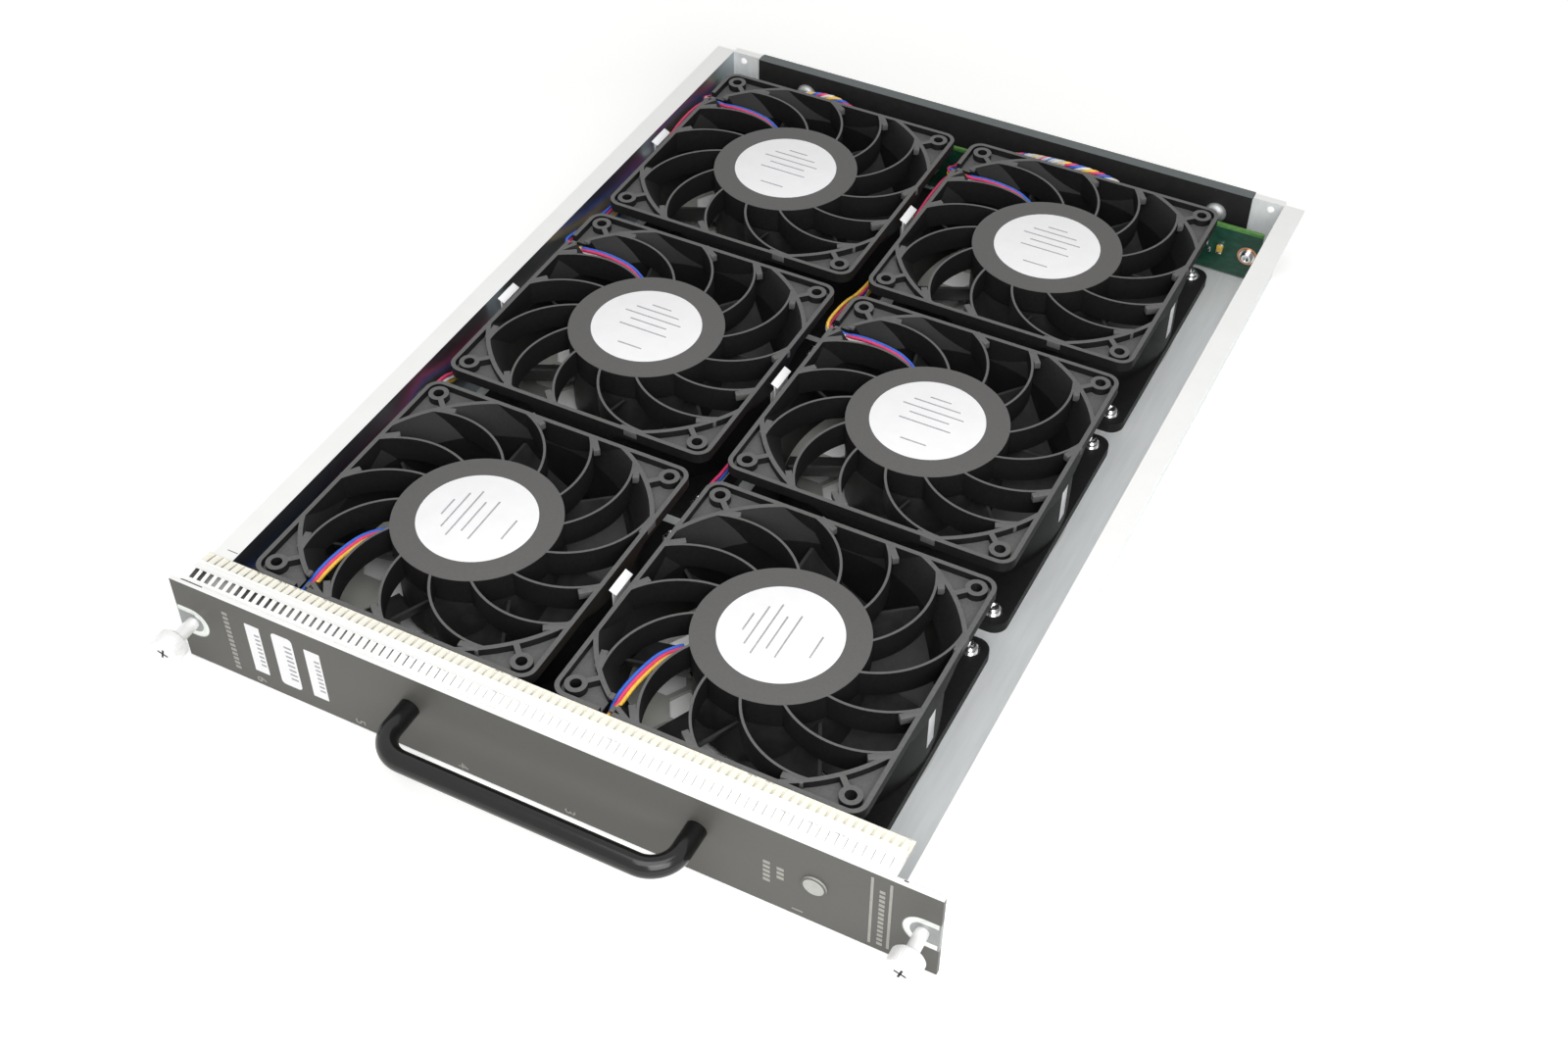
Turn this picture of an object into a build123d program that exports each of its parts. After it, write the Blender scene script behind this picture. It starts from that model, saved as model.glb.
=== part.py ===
"""Slide-in fan tray of a network switch.

Six axial fans stand on a perforated steel floor between two flanged side walls. A front
panel carries the pull handle, a status lens and two captive screws, and a control board
at the back joins the fan leads to the plug that meets the chassis.

Millimetres. X runs along the panel, Y from the panel to the back, Z up. The origin is on
the underside, on the tray's centre line, level with the middle row of fans.
"""
import os
from math import asin, cos, degrees, radians, sin, sqrt, tan

from build123d import *

# Sheet metal
SHEET = 1.2
FLOOR_T = 1.5
PANEL_T = 2.0
CLEARANCE = 0.3

# Fan, a 120 mm class frame 38 mm deep
FAN_SIZE = 119.0
FAN_DEPTH = 38.0
FAN_CORNER = 6.0
FLANGE_T = 4.5
BORE_INSET = 2.0
BARREL_WALL = 1.6
HOLE_INSET = 7.0
HOLE_R = 2.15
HUB_R = 32.5
STATOR_H = 11.0
VANE_COUNT = 13
VANE_T = 1.0
VANE_MID_SWEEP = 11.0
VANE_END_SWEEP = 34.5
VANE_ROOT = 1.0

# Flared top of the fan's air passage, and the sunk corners round it
FLARE = 6.7
RIM_W = 1.8
RECESS_DEPTH = 3.0
BOSS_R = 4.1
RIB_W = 2.2

# Impeller and motor
BLADE_COUNT = 7
BLADE_T = 1.3
BLADE_CHORD = 30.0
BLADE_CAMBER = 3.5
TIP_GAP = 1.2
RUN_GAP = 1.5
HUB_STEP = 0.5
CUP_BASE = 2.5
MAGNET_R = 23.0
AIR_GAP = 0.8
SHAFT_R = 1.5
SHAFT_FIT = 0.03
BEARING_R = 4.0
BEARING_W = 3.0
TUBE_R = 6.0
ROTOR_BOSS_H = 4.5
STATOR_CORE_H = 10.0
POLE_W = 11.0

# Fan array: two columns of three
FAN_GAP = 8.0
LEFT_LANE = 7.4
RIGHT_LANE = 23.4
FRONT_BAY = 18.5
REAR_BAY = 16.5

# Grille under each fan: hexagons round a solid centre below the motor
CELL_PITCH = 16.6
CELL_WEB = 2.0
GRILLE_INNER_R = 25.0

# Side walls and front channel
WALL_FLANGE = 9.1
STRIP_LEFT_INSET = 4.5
STRIP_RIGHT_INSET = 17.4
CHANNEL_GAP = 0.6
GASKET_T = 0.4
GASKET_RISE = 1.2

# Front panel
PANEL_EAR = 14.0
PANEL_LIP = 1.5
SCREW_INSET = 6.2
NOTCH_R = 7.25
LENS_INSET = 44.8
LENS_R = 4.0
LENS_RIM = 0.6
LENS_RISE = 0.8

# Handle, a bent rod
HANDLE_X = 6.75
HANDLE_DROP = 16.5
HANDLE_SPAN = 114.3
HANDLE_REACH = 25.4
HANDLE_R = 4.0
HANDLE_BEND = 11.0

# Captive screws, shown drawn out of the panel
KNOB_R = 6.0
KNOB_L = 7.7
KNOB_EDGE = 0.8
NECK_R = 2.5
NECK_FIT = 0.1
SCREW_TRAVEL = 9.7
SHANK_END = 13.0
CLIP_R = 5.0
CLIP_T = 1.0
GROOVE_R = 1.9
GROOVE_PLAY = 0.1

# Back wall, black backing sheet, control board and plug
BACK_HOLE_INSET = 5.6
BACK_HOLE_DROP = 3.7
BACK_HOLE_R = 1.7
BACK_LIP = 3.8
BACKING_T = 1.0
BACKING_INSET = 14.4
BACKING_LIFT = 1.0
BACKING_LIP = 4.6
BOARD_T = 1.6
BOARD_DROP = 12.0
BOARD_LIFT = 1.0
BOARD_GAP = 7.4
BOARD_INSET = 4.4
POST_INSET = 9.9
POST_AF = 5.5
POST_Z = 14.5
PLUG_W = 60.0
PLUG_H = 11.0
PLUG_Z = 14.0
PLUG_REACH = 9.0
PLUG_WALL = 1.6
PLUG_POCKET = 12.0
HEADER_W = 10.0
HEADER_D = 4.5
HEADER_H = 8.0
HEADER_DROP = 6.8
HEADER_STEP = 18.0
HEADER_START = 70.0

# Fan leads
LEAD_W = 2.6
LEAD_NOTCH_INSET = 22.5
LEAD_NOTCH_W = 5.0
LEAD_NOTCH_DEPTH = 6.5
LEAD_DROP = 4.2
LEAD_LANE_STEP = 4.0
LEAD_MID_INSET = 3.5
LEAD_GAP_SHARE = 0.45
LEAD_VANE_OFFSET = 3.5
LEAD_BEND = 5.0
LEAD_FALL_RUN = 22.0
BEND_SHARE = 0.45

# Heights and places that follow from the sizes above
BORE_R = FAN_SIZE / 2 - BORE_INSET
FLARE_R = BORE_R + FLARE
HOLE_SPACING = FAN_SIZE - 2 * HOLE_INSET
FAN_PITCH = FAN_SIZE + FAN_GAP
FAN_TOP = FLOOR_T + FAN_DEPTH
PANEL_H = FAN_TOP + PANEL_LIP
ARRAY_W = FAN_PITCH + FAN_SIZE
INNER_W = LEFT_LANE + ARRAY_W + RIGHT_LANE
ARRAY_X = (LEFT_LANE - RIGHT_LANE) / 2
PANEL_W = INNER_W + 2 * PANEL_EAR
PANEL_BACK = -FAN_PITCH - FAN_SIZE / 2 - FRONT_BAY + PANEL_T
PANEL_FRONT = PANEL_BACK - PANEL_T
BACK_IN = FAN_PITCH + FAN_SIZE / 2 + REAR_BAY
BACK_OUT = BACK_IN + SHEET
STRIP_LEFT = -PANEL_W / 2 + STRIP_LEFT_INSET
STRIP_RIGHT = PANEL_W / 2 - STRIP_RIGHT_INSET
STRIP_BACK = PANEL_BACK + FRONT_BAY - PANEL_T - CHANNEL_GAP
STRIP_SEAT = FAN_TOP + SHEET / 2
SCREW_X = PANEL_W / 2 - SCREW_INSET
SCREW_Z = PANEL_H / 2
LENS_X = PANEL_W / 2 - LENS_INSET
HANDLE_Z = PANEL_H - HANDLE_DROP
BOARD_BACK = BACK_IN - BOARD_GAP
BOARD_FRONT = BOARD_BACK - BOARD_T
BOARD_TOP = FAN_TOP - BOARD_DROP
BACKING_X = INNER_W / 2 - BACKING_INSET
BACKING_SEAT = FAN_TOP - BACKING_T
HEADER_TOP = FAN_TOP - LEAD_DROP - 2 * LEAD_LANE_STEP - HEADER_DROP
CELL_AF = CELL_PITCH - CELL_WEB
STATOR_Z = FAN_DEPTH - STATOR_H
BLADE_TOP = STATOR_Z - RUN_GAP
TIP_R = BORE_R - TIP_GAP
IMPELLER_R = HUB_R - HUB_STEP
TUBE_END = RUN_GAP + CUP_BASE + ROTOR_BOSS_H + RUN_GAP
CORE_Z = STATOR_Z - RUN_GAP - STATOR_CORE_H
VANE_STEP = 360 / VANE_COUNT
LEAD_NOTCH_Y = FAN_SIZE / 2 - LEAD_NOTCH_INSET
NOTCH_ANGLE = 180 - degrees(asin(LEAD_NOTCH_Y / FLARE_R))
VANE_START = NOTCH_ANGLE - VANE_END_SWEEP - LEAD_GAP_SHARE * VANE_STEP

LOW = (Align.CENTER, Align.CENTER, Align.MIN)
HIGH = (Align.CENTER, Align.CENTER, Align.MAX)


def span(x0, x1, y0, y1, z0, z1):
    """A plate or block between two corners."""
    block = Box(x1 - x0, y1 - y0, z1 - z0, align=(Align.MIN, Align.MIN, Align.MIN))
    return Pos(x0, y0, z0) * block


def rod_y(radius, y0, y1):
    """A round bar along Y on the captive screw's axis."""
    turned = Rot(-90, 0, 0) * Cylinder(radius, y1 - y0, align=LOW)
    return Pos(0, y0, 0) * turned


def polar(radius, angle):
    return (radius * cos(radians(angle)), radius * sin(radians(angle)))


def fan_places():
    """Each fan's number, place and turn, from the front row to the back."""
    places = []
    for row in (-1, 0, 1):
        for column in (-1, 1):
            number = len(places) + 1
            centre = (ARRAY_X + column * FAN_PITCH / 2, row * FAN_PITCH)
            turn = 90 if row == -1 else 0
            places.append((number, column, row, centre, turn))
    return places


def set_fan(piece, centre, turn):
    return Pos(centre[0], centre[1], FLOOR_T) * Rot(0, 0, turn) * piece


def guide_vane(start):
    """One curved guide vane from the hub into the passage's wall."""
    root = polar(HUB_R - VANE_ROOT, start)
    middle = polar((HUB_R + BORE_R) / 2, start + VANE_MID_SWEEP)
    end = polar(FLARE_R + BARREL_WALL / 2, start + VANE_END_SWEEP)
    outline = SlotArc(ThreePointArc(root, middle, end), VANE_T)
    vane = Pos(0, 0, STATOR_Z) * extrude(outline, STATOR_H)
    return vane & flare(BARREL_WALL / 2)


def flare(grow):
    """Top of the air passage: a cone that opens into the corners, cut off along the sides."""
    side = FAN_SIZE - 2 * RIM_W + 2 * grow
    cone = Cone(BORE_R + grow, FLARE_R + grow, STATOR_H, align=LOW)
    return Pos(0, 0, STATOR_Z) * (cone & Box(side, side, STATOR_H, align=LOW))


def corner_recesses():
    """The sunk corners of the top flange, round the screw bosses and the ribs that tie them in."""
    side = FAN_SIZE - 2 * RIM_W
    outline = RectangleRounded(side, side, FAN_CORNER - RIM_W) - Circle(FLARE_R + RIM_W)
    outline -= GridLocations(HOLE_SPACING, HOLE_SPACING, 2, 2) * Circle(BOSS_R)
    for turn in (45, 135):
        outline -= Rot(0, 0, turn) * Rectangle(HOLE_SPACING * sqrt(2), RIB_W)
    return Pos(0, 0, FAN_DEPTH - RECESS_DEPTH) * extrude(outline, RECESS_DEPTH)


def fan_frame():
    """Flanged barrel, motor hub and guide vanes, moulded in one piece."""
    flange_outline = RectangleRounded(FAN_SIZE, FAN_SIZE, FAN_CORNER)
    flange = extrude(flange_outline, FLANGE_T)
    frame = flange + Pos(0, 0, FAN_DEPTH - FLANGE_T) * flange
    frame += Cylinder(BORE_R + BARREL_WALL, FAN_DEPTH, align=LOW)
    frame += flare(BARREL_WALL)
    frame -= Cylinder(BORE_R, FAN_DEPTH, align=LOW)
    frame -= flare(0)
    hub = Pos(0, 0, STATOR_Z) * Cylinder(HUB_R, STATOR_H, align=LOW)
    tube = Pos(0, 0, STATOR_Z) * Cylinder(TUBE_R, STATOR_Z - TUBE_END, align=HIGH)
    vanes = [guide_vane(VANE_START + i * VANE_STEP) for i in range(VANE_COUNT)]
    frame = frame + [hub, tube] + vanes
    bore_top = STATOR_Z + BEARING_W
    frame -= Pos(0, 0, TUBE_END) * Cylinder(BEARING_R, bore_top - TUBE_END, align=LOW)
    for corner in GridLocations(HOLE_SPACING, HOLE_SPACING, 2, 2):
        frame -= corner * Pos(0, 0, FAN_DEPTH) * Cylinder(HOLE_R, FLANGE_T, align=HIGH)
    frame -= corner_recesses()
    notch_x = sqrt(BORE_R ** 2 - (LEAD_NOTCH_Y + LEAD_NOTCH_W / 2) ** 2)
    frame -= span(-FAN_SIZE / 2, -notch_x, LEAD_NOTCH_Y - LEAD_NOTCH_W / 2,
                  LEAD_NOTCH_Y + LEAD_NOTCH_W / 2, FAN_DEPTH - LEAD_NOTCH_DEPTH, FAN_DEPTH)
    return frame


def blade():
    """A cambered blade, leading edge low and trailing edge high, trimmed to the barrel."""
    plane = Plane(origin=(IMPELLER_R - CUP_BASE, 0, 0), x_dir=(0, 1, 0), z_dir=(1, 0, 0))
    low = Vector(-BLADE_CHORD / 2, RUN_GAP)
    high = Vector(BLADE_CHORD / 2, BLADE_TOP)
    middle = (low + high) / 2 + Vector(BLADE_CAMBER, -BLADE_CAMBER)
    lift = Vector(-BLADE_T / 2, BLADE_T)
    under = ThreePointArc(low, middle, high)
    over = ThreePointArc(low + lift, middle + lift, high + lift)
    ends = [Line(low, low + lift), Line(high, high + lift)]
    sheet = extrude(plane * make_face([under, over] + ends), BORE_R - IMPELLER_R + CUP_BASE)
    height = BLADE_TOP - RUN_GAP
    return sheet & (Pos(0, 0, RUN_GAP) * Cylinder(TIP_R, height, align=LOW))


def impeller():
    """Hub cup with the magnet ring bonded in, and the blades."""
    height = BLADE_TOP - RUN_GAP
    hub = Pos(0, 0, RUN_GAP) * Cylinder(IMPELLER_R, height, align=LOW)
    blades = [Rot(0, 0, i * 360 / BLADE_COUNT) * blade() for i in range(BLADE_COUNT)]
    rotor = hub + blades
    cup_floor = RUN_GAP + CUP_BASE
    rotor -= Pos(0, 0, cup_floor) * Cylinder(MAGNET_R, FAN_DEPTH, align=LOW)
    boss = Pos(0, 0, cup_floor) * Cylinder(BEARING_R, ROTOR_BOSS_H, align=LOW)
    rotor += boss
    rotor -= Pos(0, 0, cup_floor) * Cylinder(SHAFT_R, FAN_DEPTH, align=LOW)
    return rotor


def shaft():
    """Steel shaft, pressed into the impeller's boss and turning in the bearings."""
    bottom = RUN_GAP + CUP_BASE
    top = STATOR_Z + BEARING_W - CLEARANCE
    return Pos(0, 0, bottom) * Cylinder(SHAFT_R, top - bottom, align=LOW)


def bearing():
    ring = Cylinder(BEARING_R, BEARING_W, align=LOW)
    return ring - Cylinder(SHAFT_R + SHAFT_FIT, BEARING_W, align=LOW)


def bearing_pair():
    """One bearing at each end of the hub's tube."""
    low = Pos(0, 0, TUBE_END) * bearing()
    high = Pos(0, 0, STATOR_Z) * bearing()
    return [low, high]


def stator_core():
    """Wound core on the hub's tube, with straight poles that face the magnet ring."""
    tip = sqrt((MAGNET_R - AIR_GAP) ** 2 - (POLE_W / 2) ** 2)
    bar = Box(2 * tip, POLE_W, STATOR_CORE_H, align=LOW)
    core = bar + Rot(0, 0, 90) * bar
    core -= Cylinder(TUBE_R, STATOR_CORE_H, align=LOW)
    return Pos(0, 0, CORE_Z) * core


def grille_cells():
    """Centres of the hexagons under one fan."""
    centres = []
    reach = int(BORE_R / CELL_PITCH) + 1
    for i in range(-reach, reach + 1):
        for j in range(-reach, reach + 1):
            x = CELL_PITCH * sqrt(3) / 2 * i
            y = CELL_PITCH * (j + i / 2)
            distance = sqrt(x * x + y * y)
            if distance > GRILLE_INNER_R and distance + CELL_AF / sqrt(3) < BORE_R:
                centres.append((x, y))
    return centres


def floor_plate():
    """Floor with a hexagonal finger grille under each fan."""
    floor = span(-INNER_W / 2, INNER_W / 2, PANEL_BACK, BACK_OUT, 0, FLOOR_T)
    cell = extrude(RegularPolygon(CELL_AF / sqrt(3), 6), FLOOR_T)
    cells = []
    for number, column, row, centre, turn in fan_places():
        cells += [Pos(centre[0] + x, centre[1] + y, 0) * cell for x, y in grille_cells()]
    return floor - cells


def side_wall(side):
    """Side wall with an outward flange that slides in the chassis guide."""
    inner = INNER_W / 2
    wall = span(inner, inner + SHEET, PANEL_BACK, BACK_OUT, 0, FAN_TOP)
    flange = span(inner, inner + WALL_FLANGE, PANEL_BACK, BACK_OUT, FAN_TOP - SHEET, FAN_TOP)
    rail = wall + flange
    return rail if side > 0 else mirror(rail, Plane.YZ)


def front_channel():
    """Folded stiffener behind the panel, closed on top up to the first fans."""
    web_x = INNER_W / 2 - CLEARANCE
    web = span(-web_x, web_x, PANEL_BACK, PANEL_BACK + SHEET, FLOOR_T, FAN_TOP)
    top = span(STRIP_LEFT, STRIP_RIGHT, PANEL_BACK, STRIP_BACK, FAN_TOP, STRIP_SEAT)
    return web + top


def gasket():
    """Bowed spring strip that grounds the tray's top edge against the chassis."""
    middle = (PANEL_BACK + STRIP_BACK) / 2
    top = STRIP_SEAT + GASKET_RISE
    crown = ThreePointArc((PANEL_BACK, STRIP_SEAT), (middle, top), (STRIP_BACK, STRIP_SEAT))
    under = ThreePointArc((PANEL_BACK + GASKET_T, STRIP_SEAT), (middle, top - GASKET_T),
                          (STRIP_BACK - GASKET_T, STRIP_SEAT))
    ends = [Line(crown @ 0, under @ 0), Line(crown @ 1, under @ 1)]
    strip = Plane.YZ * make_face([crown, under] + ends)
    return Pos(STRIP_LEFT, 0, 0) * extrude(strip, STRIP_RIGHT - STRIP_LEFT)


def notch_outline():
    """Round-ended notch, open to the panel's end, on the captive screw's axis."""
    tail = SCREW_INSET
    return Circle(NOTCH_R) + Pos(tail / 2, 0) * Rectangle(tail, 2 * NOTCH_R)


def notch_block(depth):
    """The notch's volume at the right end, running back from the panel's front face."""
    plane = Plane(origin=(SCREW_X, PANEL_FRONT, SCREW_Z), x_dir=(1, 0, 0), z_dir=(0, 1, 0))
    return extrude(plane * notch_outline(), depth)


def front_panel():
    """Face plate with end notches for the captive screws."""
    half = PANEL_W / 2
    panel = span(-half, half, PANEL_FRONT, PANEL_BACK, 0, PANEL_H)
    cut = notch_block(PANEL_T)
    panel -= [cut, mirror(cut, Plane.YZ)]
    lens_hole = Pos(LENS_X, 0, SCREW_Z) * rod_y(LENS_R, PANEL_FRONT, PANEL_BACK)
    return panel - lens_hole


def lens():
    """Status light window, seated in the panel with a thin rim on its face."""
    body = rod_y(LENS_R, PANEL_FRONT, PANEL_BACK)
    rim = rod_y(LENS_R + LENS_RIM, PANEL_FRONT - LENS_RISE, PANEL_FRONT)
    return Pos(LENS_X, 0, SCREW_Z) * (body + rim)


def handle():
    """Round rod bent to a U, butted on the panel's face."""
    half = HANDLE_SPAN / 2
    out = HANDLE_REACH - HANDLE_R
    points = [(-half, 0, 0), (-half, -out, 0), (half, -out, 0), (half, 0, 0)]
    path = FilletPolyline(*points, radius=HANDLE_BEND)
    section = Plane(origin=path @ 0, z_dir=path % 0) * Circle(HANDLE_R)
    return Pos(HANDLE_X, PANEL_FRONT, HANDLE_Z) * sweep(section, path=path)


def ferrule():
    """Bright insert that fills the panel's notch and guides the screw's neck."""
    trim = span(SCREW_X - 2 * NOTCH_R, PANEL_W / 2, PANEL_FRONT, PANEL_BACK, 0, PANEL_H)
    insert = notch_block(PANEL_T) & trim
    bore = Pos(SCREW_X, 0, SCREW_Z) * rod_y(NECK_R + NECK_FIT, PANEL_FRONT, PANEL_BACK)
    return insert - bore


def captive_screw():
    """Knob, neck and screw end, with a groove for the retaining clip."""
    knob_back = PANEL_FRONT - SCREW_TRAVEL - CLEARANCE
    knob_front = knob_back - KNOB_L
    knob = rod_y(KNOB_R, knob_front, knob_back)
    knob = chamfer(knob.edges().filter_by(GeomType.CIRCLE), KNOB_EDGE)
    clip_front = PANEL_BACK + CLEARANCE
    clip_back = clip_front + CLIP_T
    screw = knob + rod_y(NECK_R, knob_back, clip_front - GROOVE_PLAY)
    screw += rod_y(GROOVE_R, clip_front - GROOVE_PLAY, clip_back + GROOVE_PLAY)
    screw += rod_y(NECK_R, clip_back + GROOVE_PLAY, PANEL_BACK + SHANK_END)
    return Pos(SCREW_X, 0, SCREW_Z) * screw


def retaining_clip():
    """Clip that keeps the screw from leaving its ferrule."""
    front = PANEL_BACK + CLEARANCE
    ring = rod_y(CLIP_R, front, front + CLIP_T)
    bore = rod_y(GROOVE_R + SHAFT_FIT, front, front + CLIP_T)
    return Pos(SCREW_X, 0, SCREW_Z) * (ring - bore)


def back_wall():
    """Back wall with a lip along its top, two fixing holes and the plug's opening."""
    half = INNER_W / 2
    lip_end = BACK_IN + BACK_LIP
    wall = span(-half, half, BACK_IN, BACK_OUT, FLOOR_T, FAN_TOP)
    wall += span(-half, half, BACK_OUT, lip_end, FAN_TOP - SHEET, FAN_TOP)
    seat = BACKING_X + CLEARANCE
    wall -= span(-seat, seat, BACK_IN, lip_end, BACKING_SEAT, FAN_TOP)
    wall += span(-seat, seat, BACK_OUT, lip_end, BACKING_SEAT - SHEET, BACKING_SEAT)
    for side in (-1, 1):
        hole = Pos(side * (half - BACK_HOLE_INSET), 0, FAN_TOP - BACK_HOLE_DROP)
        wall -= hole * rod_y(BACK_HOLE_R, BACK_IN, BACK_OUT)
    return wall - plug_opening()


def plug_opening():
    half_w = PLUG_W / 2 + CLEARANCE
    half_h = PLUG_H / 2 + CLEARANCE
    return span(-half_w, half_w, BOARD_BACK, BACK_OUT, PLUG_Z - half_h, PLUG_Z + half_h)


def backing_sheet():
    """Black insulating sheet on the back wall's inner face, folded over the lip."""
    front = BACK_IN - BACKING_T
    sheet = span(-BACKING_X, BACKING_X, front, BACK_IN, FLOOR_T + BACKING_LIFT, FAN_TOP)
    sheet += span(-BACKING_X, BACKING_X, BACK_IN, BACK_IN + BACKING_LIP, BACKING_SEAT, FAN_TOP)
    return sheet - plug_opening()


def control_board():
    half = INNER_W / 2 - BOARD_INSET
    return span(-half, half, BOARD_FRONT, BOARD_BACK, FLOOR_T + BOARD_LIFT, BOARD_TOP)


def board_posts():
    """Hexagonal posts that hold the board off the back wall."""
    outline = RegularPolygon(POST_AF / 2, 6, major_radius=False)
    post_x = INNER_W / 2 - POST_INSET
    posts = []
    for side in (-1, 1):
        plane = Plane(origin=(side * post_x, BOARD_BACK, POST_Z), x_dir=(1, 0, 0), z_dir=(0, 1, 0))
        posts.append(extrude(plane * outline, BOARD_GAP))
    return posts


def plug():
    """Blind-mating plug on the board, through the back wall."""
    half_w = PLUG_W / 2
    half_h = PLUG_H / 2
    end = BACK_OUT + PLUG_REACH
    body = span(-half_w, half_w, BOARD_BACK, end, PLUG_Z - half_h, PLUG_Z + half_h)
    pocket = span(-half_w + PLUG_WALL, half_w - PLUG_WALL, end - PLUG_POCKET, end,
                  PLUG_Z - half_h + PLUG_WALL, PLUG_Z + half_h - PLUG_WALL)
    return body - pocket


def header_x(column, row):
    """Place of a fan's header along the board, in the order that the leads arrive."""
    lane = lane_x(column)
    return lane + HEADER_START + (row + 1) * HEADER_STEP


def lane_x(column):
    """Middle of the lane beside a column of fans, on its left."""
    if column < 0:
        return -INNER_W / 2 + LEFT_LANE / 2
    return ARRAY_X


def headers():
    """One lead socket for each fan on the board's front face."""
    blocks = []
    for number, column, row, centre, turn in fan_places():
        x = header_x(column, row)
        blocks.append(span(x - HEADER_W / 2, x + HEADER_W / 2, BOARD_FRONT - HEADER_D, BOARD_FRONT,
                           HEADER_TOP - HEADER_H, HEADER_TOP))
    return blocks


def lead_points(column, row, centre, turn):
    """Route of one fan's lead: hub, notch in the frame, lane, back bay, header."""
    notch_z = FAN_TOP - LEAD_DROP
    lane_z = notch_z + (row - 1) * LEAD_LANE_STEP
    x = lane_x(column)
    bay_y = BOARD_FRONT - HEADER_D / 2
    hub_angle = VANE_START + VANE_STEP - LEAD_VANE_OFFSET
    mid_x = LEAD_MID_INSET - sqrt(BORE_R ** 2 - LEAD_NOTCH_Y ** 2)
    local = [polar(HUB_R + LEAD_W / 2, hub_angle), (mid_x, LEAD_NOTCH_Y)]
    turned = [Vector(px, py).rotate(Axis.Z, turn) for px, py in local]
    points = [(centre[0] + v.X, centre[1] + v.Y, notch_z) for v in turned]
    if turn:
        front_y = centre[1] - FAN_SIZE / 2 - LEFT_LANE / 2
        points.append((centre[0] - LEAD_NOTCH_Y, front_y, notch_z))
        points.append((x, front_y, lane_z))
    else:
        exit_y = centre[1] + LEAD_NOTCH_Y
        points.append((x, exit_y, notch_z))
        if lane_z < notch_z:
            points.append((x, exit_y + LEAD_FALL_RUN, lane_z))
    points.append((x, bay_y, lane_z))
    points.append((header_x(column, row), bay_y, lane_z))
    points.append((header_x(column, row), bay_y, HEADER_TOP))
    return points


def bend_radii(points):
    """A radius for each corner of a route, as large as its two runs and the lane allow."""
    radii = []
    for before, corner, after in zip(points, points[1:], points[2:]):
        run_in = Vector(*corner) - Vector(*before)
        run_out = Vector(*after) - Vector(*corner)
        half_turn = radians(run_in.get_angle(run_out) / 2)
        room = BEND_SHARE * min(run_in.length, run_out.length) / tan(half_turn)
        radii.append(min(LEAD_BEND, room))
    return radii


def lead(column, row, centre, turn):
    """Bundle of a fan's wires, held in the notch, the lane and the back bay."""
    points = lead_points(column, row, centre, turn)
    path = FilletPolyline(*points, radius=bend_radii(points))
    section = Plane(origin=path @ 0, x_dir=(0, 0, 1), z_dir=path % 0) * Rectangle(LEAD_W, LEAD_W)
    return sweep(section, path=path)


def save(name, *solids):
    """Write one node, a single solid or a group of separate ones."""
    shape = solids[0] if len(solids) == 1 else Compound(children=list(solids))
    export_step(shape, os.path.join("parts", name + ".step"))


def main():
    os.makedirs("parts", exist_ok=True)
    frame = fan_frame()
    rotor = impeller()
    axle = shaft()
    bearings = []
    cores = []
    for number, column, row, centre, turn in fan_places():
        save(f"fan_{number}_frame", set_fan(frame, centre, turn))
        save(f"fan_{number}_impeller", set_fan(rotor, centre, turn))
        save(f"fan_{number}_shaft", set_fan(axle, centre, turn))
        save(f"fan_{number}_lead", lead(column, row, centre, turn))
        bearings += [set_fan(ring, centre, turn) for ring in bearing_pair()]
        cores.append(set_fan(stator_core(), centre, turn))
    save("motor_bearings", *bearings)
    save("motor_stators", *cores)
    save("floor_plate", floor_plate())
    save("left_side_wall", side_wall(-1))
    save("right_side_wall", side_wall(1))
    save("front_channel", front_channel())
    save("gasket_strip", gasket())
    save("front_panel", front_panel())
    save("status_lens", lens())
    save("handle", handle())
    for side, name in ((-1, "left"), (1, "right")):
        for part_name, piece in (("ferrule", ferrule()), ("screw", captive_screw()),
                                 ("clip", retaining_clip())):
            placed = piece if side > 0 else mirror(piece, Plane.YZ)
            save(f"{name}_{part_name}", placed)
    save("back_wall", back_wall())
    save("backing_sheet", backing_sheet())
    save("control_board", control_board())
    save("board_posts", *board_posts())
    save("fan_headers", *headers())
    save("chassis_plug", plug())


main()
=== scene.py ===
"""Looks of the switch fan tray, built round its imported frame. Metres, in the frame's own axes."""

import math

import bmesh
import bpy
from mathutils import Matrix, Vector


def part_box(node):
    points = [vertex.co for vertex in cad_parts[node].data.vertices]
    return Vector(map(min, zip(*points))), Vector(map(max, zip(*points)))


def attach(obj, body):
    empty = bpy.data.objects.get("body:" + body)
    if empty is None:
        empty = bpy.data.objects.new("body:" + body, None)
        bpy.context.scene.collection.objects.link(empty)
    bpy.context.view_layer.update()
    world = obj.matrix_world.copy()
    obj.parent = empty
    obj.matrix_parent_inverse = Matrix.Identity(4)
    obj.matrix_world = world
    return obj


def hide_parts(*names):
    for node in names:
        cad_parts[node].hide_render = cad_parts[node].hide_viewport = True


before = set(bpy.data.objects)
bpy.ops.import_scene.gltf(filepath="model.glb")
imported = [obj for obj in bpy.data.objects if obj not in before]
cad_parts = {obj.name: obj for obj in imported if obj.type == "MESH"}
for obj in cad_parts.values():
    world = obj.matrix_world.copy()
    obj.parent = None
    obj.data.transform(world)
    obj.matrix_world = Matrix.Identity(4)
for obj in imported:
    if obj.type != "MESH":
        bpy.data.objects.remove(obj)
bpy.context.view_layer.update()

MM = 0.001
FAN_NUMBERS = range(1, 7)

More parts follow.
